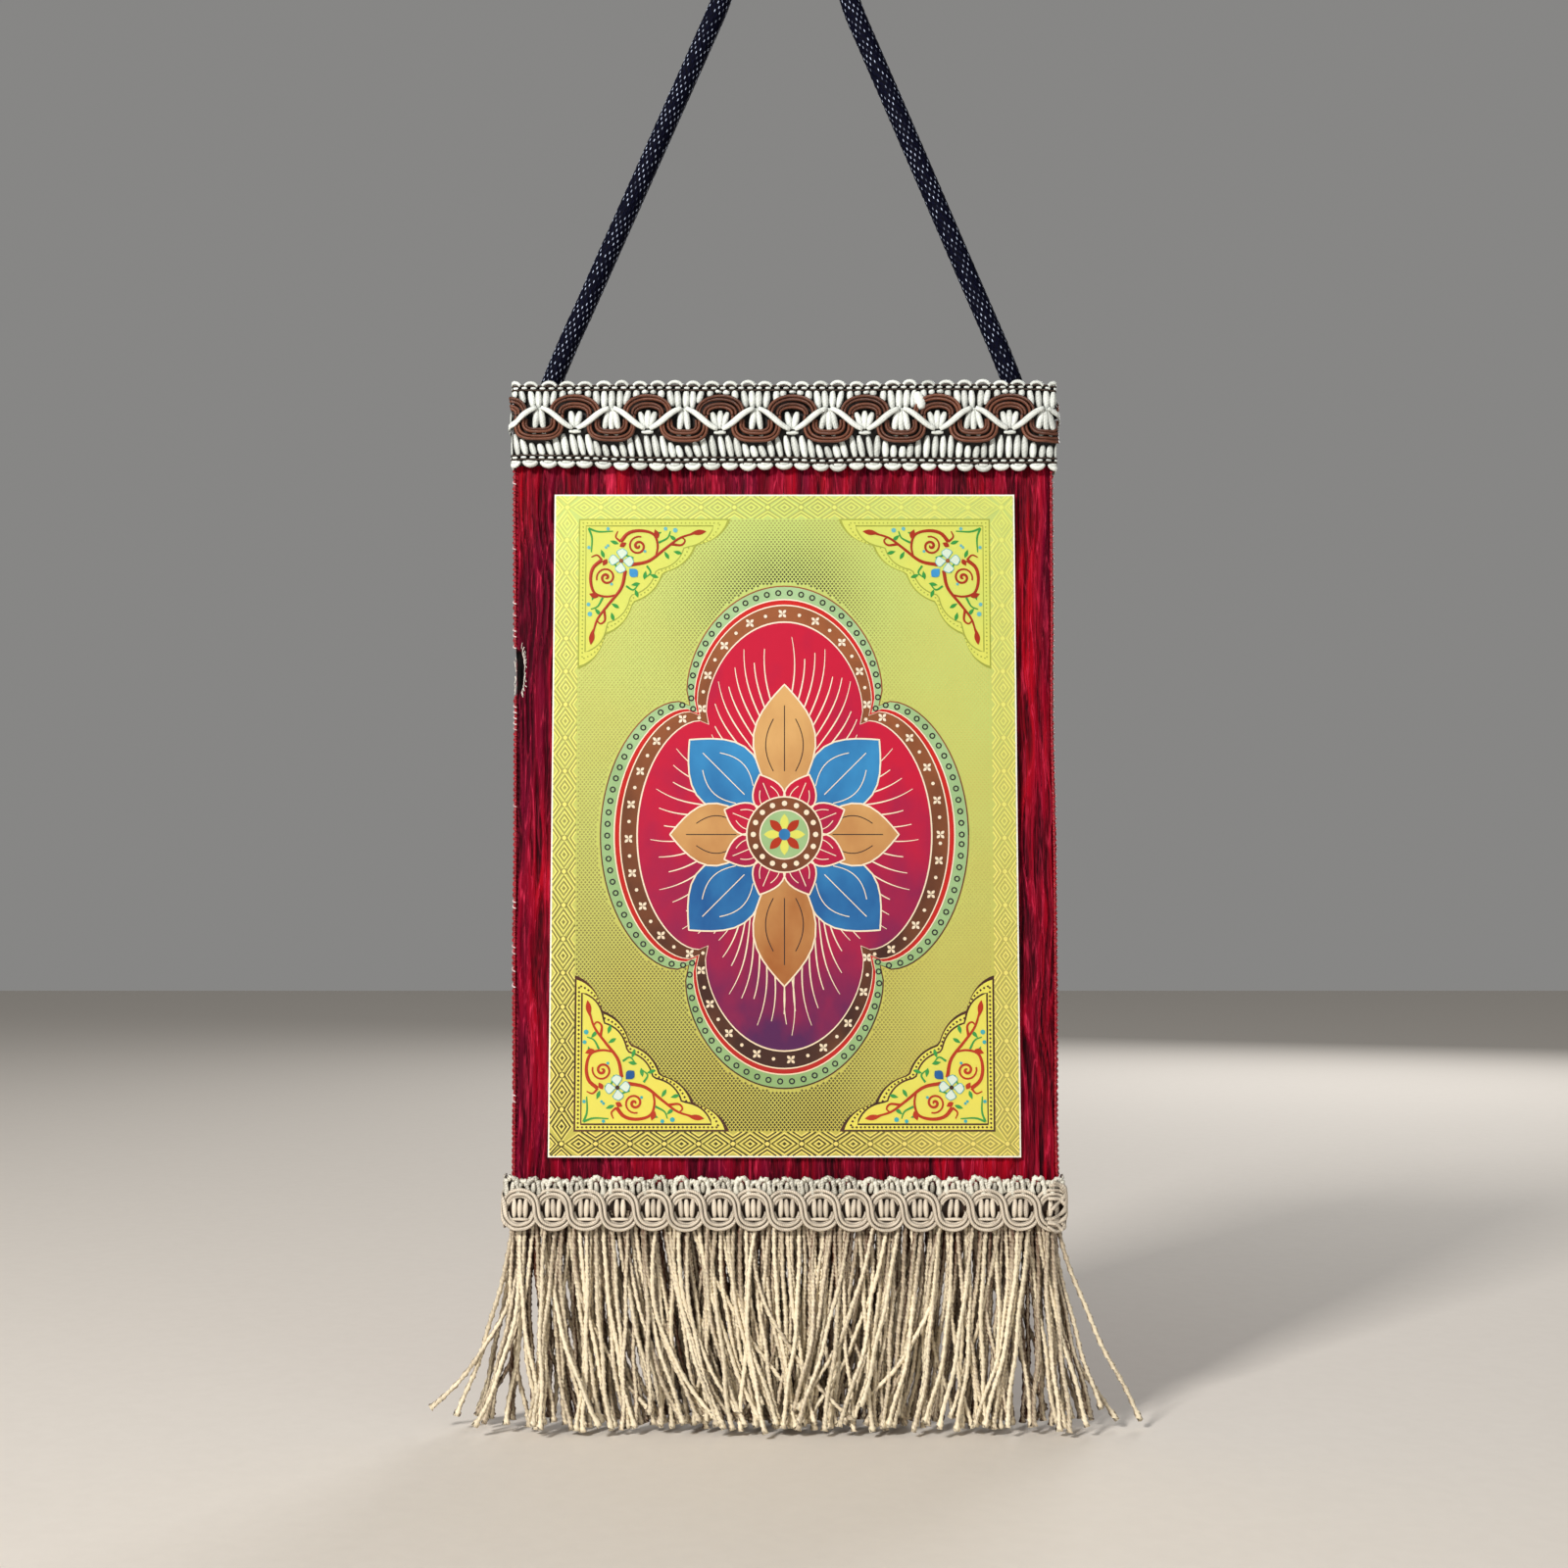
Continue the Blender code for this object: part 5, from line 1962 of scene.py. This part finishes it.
    def medallion(self) -> None:
        """The four-lobed medallion: green, red and umber rims, a crimson field and an eight-petalled flower."""
        work, middle = Drawing(), np.array([0.0, -self.drop])
        around = TURN * np.arange(160) / 160
        for shrink, ink, lift in (
            (0.0, Ink.GREEN, 0.08), (2.9, Ink.CREAM, 0.10), (3.2, Ink.RED, 0.12), (4.2, Ink.CREAM, 0.14),
            (4.5, Ink.UMBER, 0.16), (8.0, Ink.CREAM, 0.18), (8.35, Ink.CRIMSON, 0.20),
        ):
            work.fill(middle + self.rim(around, shrink), lift, ink)
        work.stroke(middle + self.rim(around), 0.3, 0.08, Ink.UMBER, closed=True)
        for place in spaced(middle + self.rim(around, 1.5), 118):
            work.stroke(place + 0.55 * circle(9), 0.3, 0.14, Ink.NIGHT, closed=True)
        for i, place in enumerate(spaced(middle + self.rim(around, 6.25), 72)):
            if i % 2:
                work.dot(place, 0.42, 0.22, Ink.CREAM, sides=6)
                continue
            for turn in range(0, 360, 90):
                work.fill(petal(1.15, 0.75, turn + 45, place, 0.6, 8), 0.22, Ink.CREAM)
        self.veins(work, middle)
        self.flower(work, middle)
        work.hang("card_medallion", self.inks, "gilt_card", smooth=False)

    def veins(self, work: Drawing, middle: np.ndarray) -> None:
        """Fine cream lines that fan out over the crimson field.

        Args:
            work: Where they go.
            middle: The medallion's middle.
        """
        for step in range(72):
            angle = TURN * step / 72
            rim = self.rim(angle, 10.2)
            share = np.linspace(0.34 if step % 2 else 0.5, 0.97 - 0.05 * (step % 3), 16)
            aside = np.array([-rim[1], rim[0]]) * (0.05 if math.cos(angle) > 0 else -0.05)
            path = middle + rim * share[:, None] + aside * np.sin(TURN * share * 0.9)[:, None]
            work.stroke(path, np.interp(share, [0.3, 0.7, 1.0], [0.16, 0.34, 0.12]), 0.22, Ink.CREAM)

    def petals(self, work: Drawing, turns: np.ndarray, length: float, width: float, ink: Ink, lift: float,
               tall: float = 1.0) -> None:
        """One ring of the flower's petals, each with an outline and three veins.

        Args:
            work: Where it goes.
            turns: Their directions, in degrees.
            length: Their length.
            width: Their width.
            ink: Their colour.
            lift: How high they lie.
            tall: How much longer the upright ones are.
        """
        middle = np.array([0.0, -self.drop])
        for turn in turns:
            reach = length * (1 + (tall - 1) * abs(math.sin(math.radians(turn))))
            edge = petal(reach, width, turn, middle, 0.62, 36)
            work.fill(edge, lift, ink)
            work.stroke(edge, 0.36, lift, Ink.CREAM, closed=True)
            for bend in (-0.3, 0.0, 0.3):
                ahead = np.linspace(0.42, 0.86 - abs(bend) * 0.3, 12) * reach
                aside = bend * width * np.sin(math.pi * np.linspace(0.2, 0.8, 12))
                vein = Ink.NIGHT if ink is Ink.OCHRE else Ink.CREAM
                work.stroke(middle + pointing(ahead, aside, turn), 0.2, lift + 0.03, vein)

    def flower(self, work: Drawing, middle: np.ndarray) -> None:
        """The flower in the medallion's middle.

        Args:
            work: Where it goes.
            middle: The medallion's middle.
        """
        self.petals(work, 45 + 90 * np.arange(4), 30.0, 15.5, Ink.BLUE, 0.26)
        self.petals(work, 90 * np.arange(4), 25.5, 14.0, Ink.OCHRE, 0.32, 1.32)
        self.petals(work, 22.5 + 45 * np.arange(8), 14.5, 7.2, Ink.CRIMSON, 0.38)
        for radius, ink, lift in ((8.6, Ink.CREAM, 0.42), (8.25, Ink.UMBER, 0.44), (5.6, Ink.CREAM, 0.46),
                                  (5.3, Ink.GREEN, 0.48)):
            work.fill(middle + circle(40) * radius, lift, ink)
        for place in 6.95 * circle(16):
            work.dot(middle + place, 0.62, 0.48, Ink.CREAM)
        for step in range(8):
            work.fill(petal(4.6, 1.9, 45 * step, middle, 0.6), 0.52, Ink.ORANGE if step % 2 else Ink.LEMON)
        work.dot(middle, 1.3, 0.56, Ink.BLUE, sides=16)

    def build(self) -> None:
        """Makes the card with all its decoration."""
        self.plate()
        self.embossing()
        self.corners()
        self.medallion()


def main() -> None:
    """Builds the banner's looks."""
    logging.basicConfig(level=logging.INFO, format="%(name)s: %(message)s")
    for assembly in (Studio, HangingCord, ClothBag, GimpBraid, FringeHeader, Fringe, PictureCard):
        assembly().build()


if __name__ == "__main__":
    main()
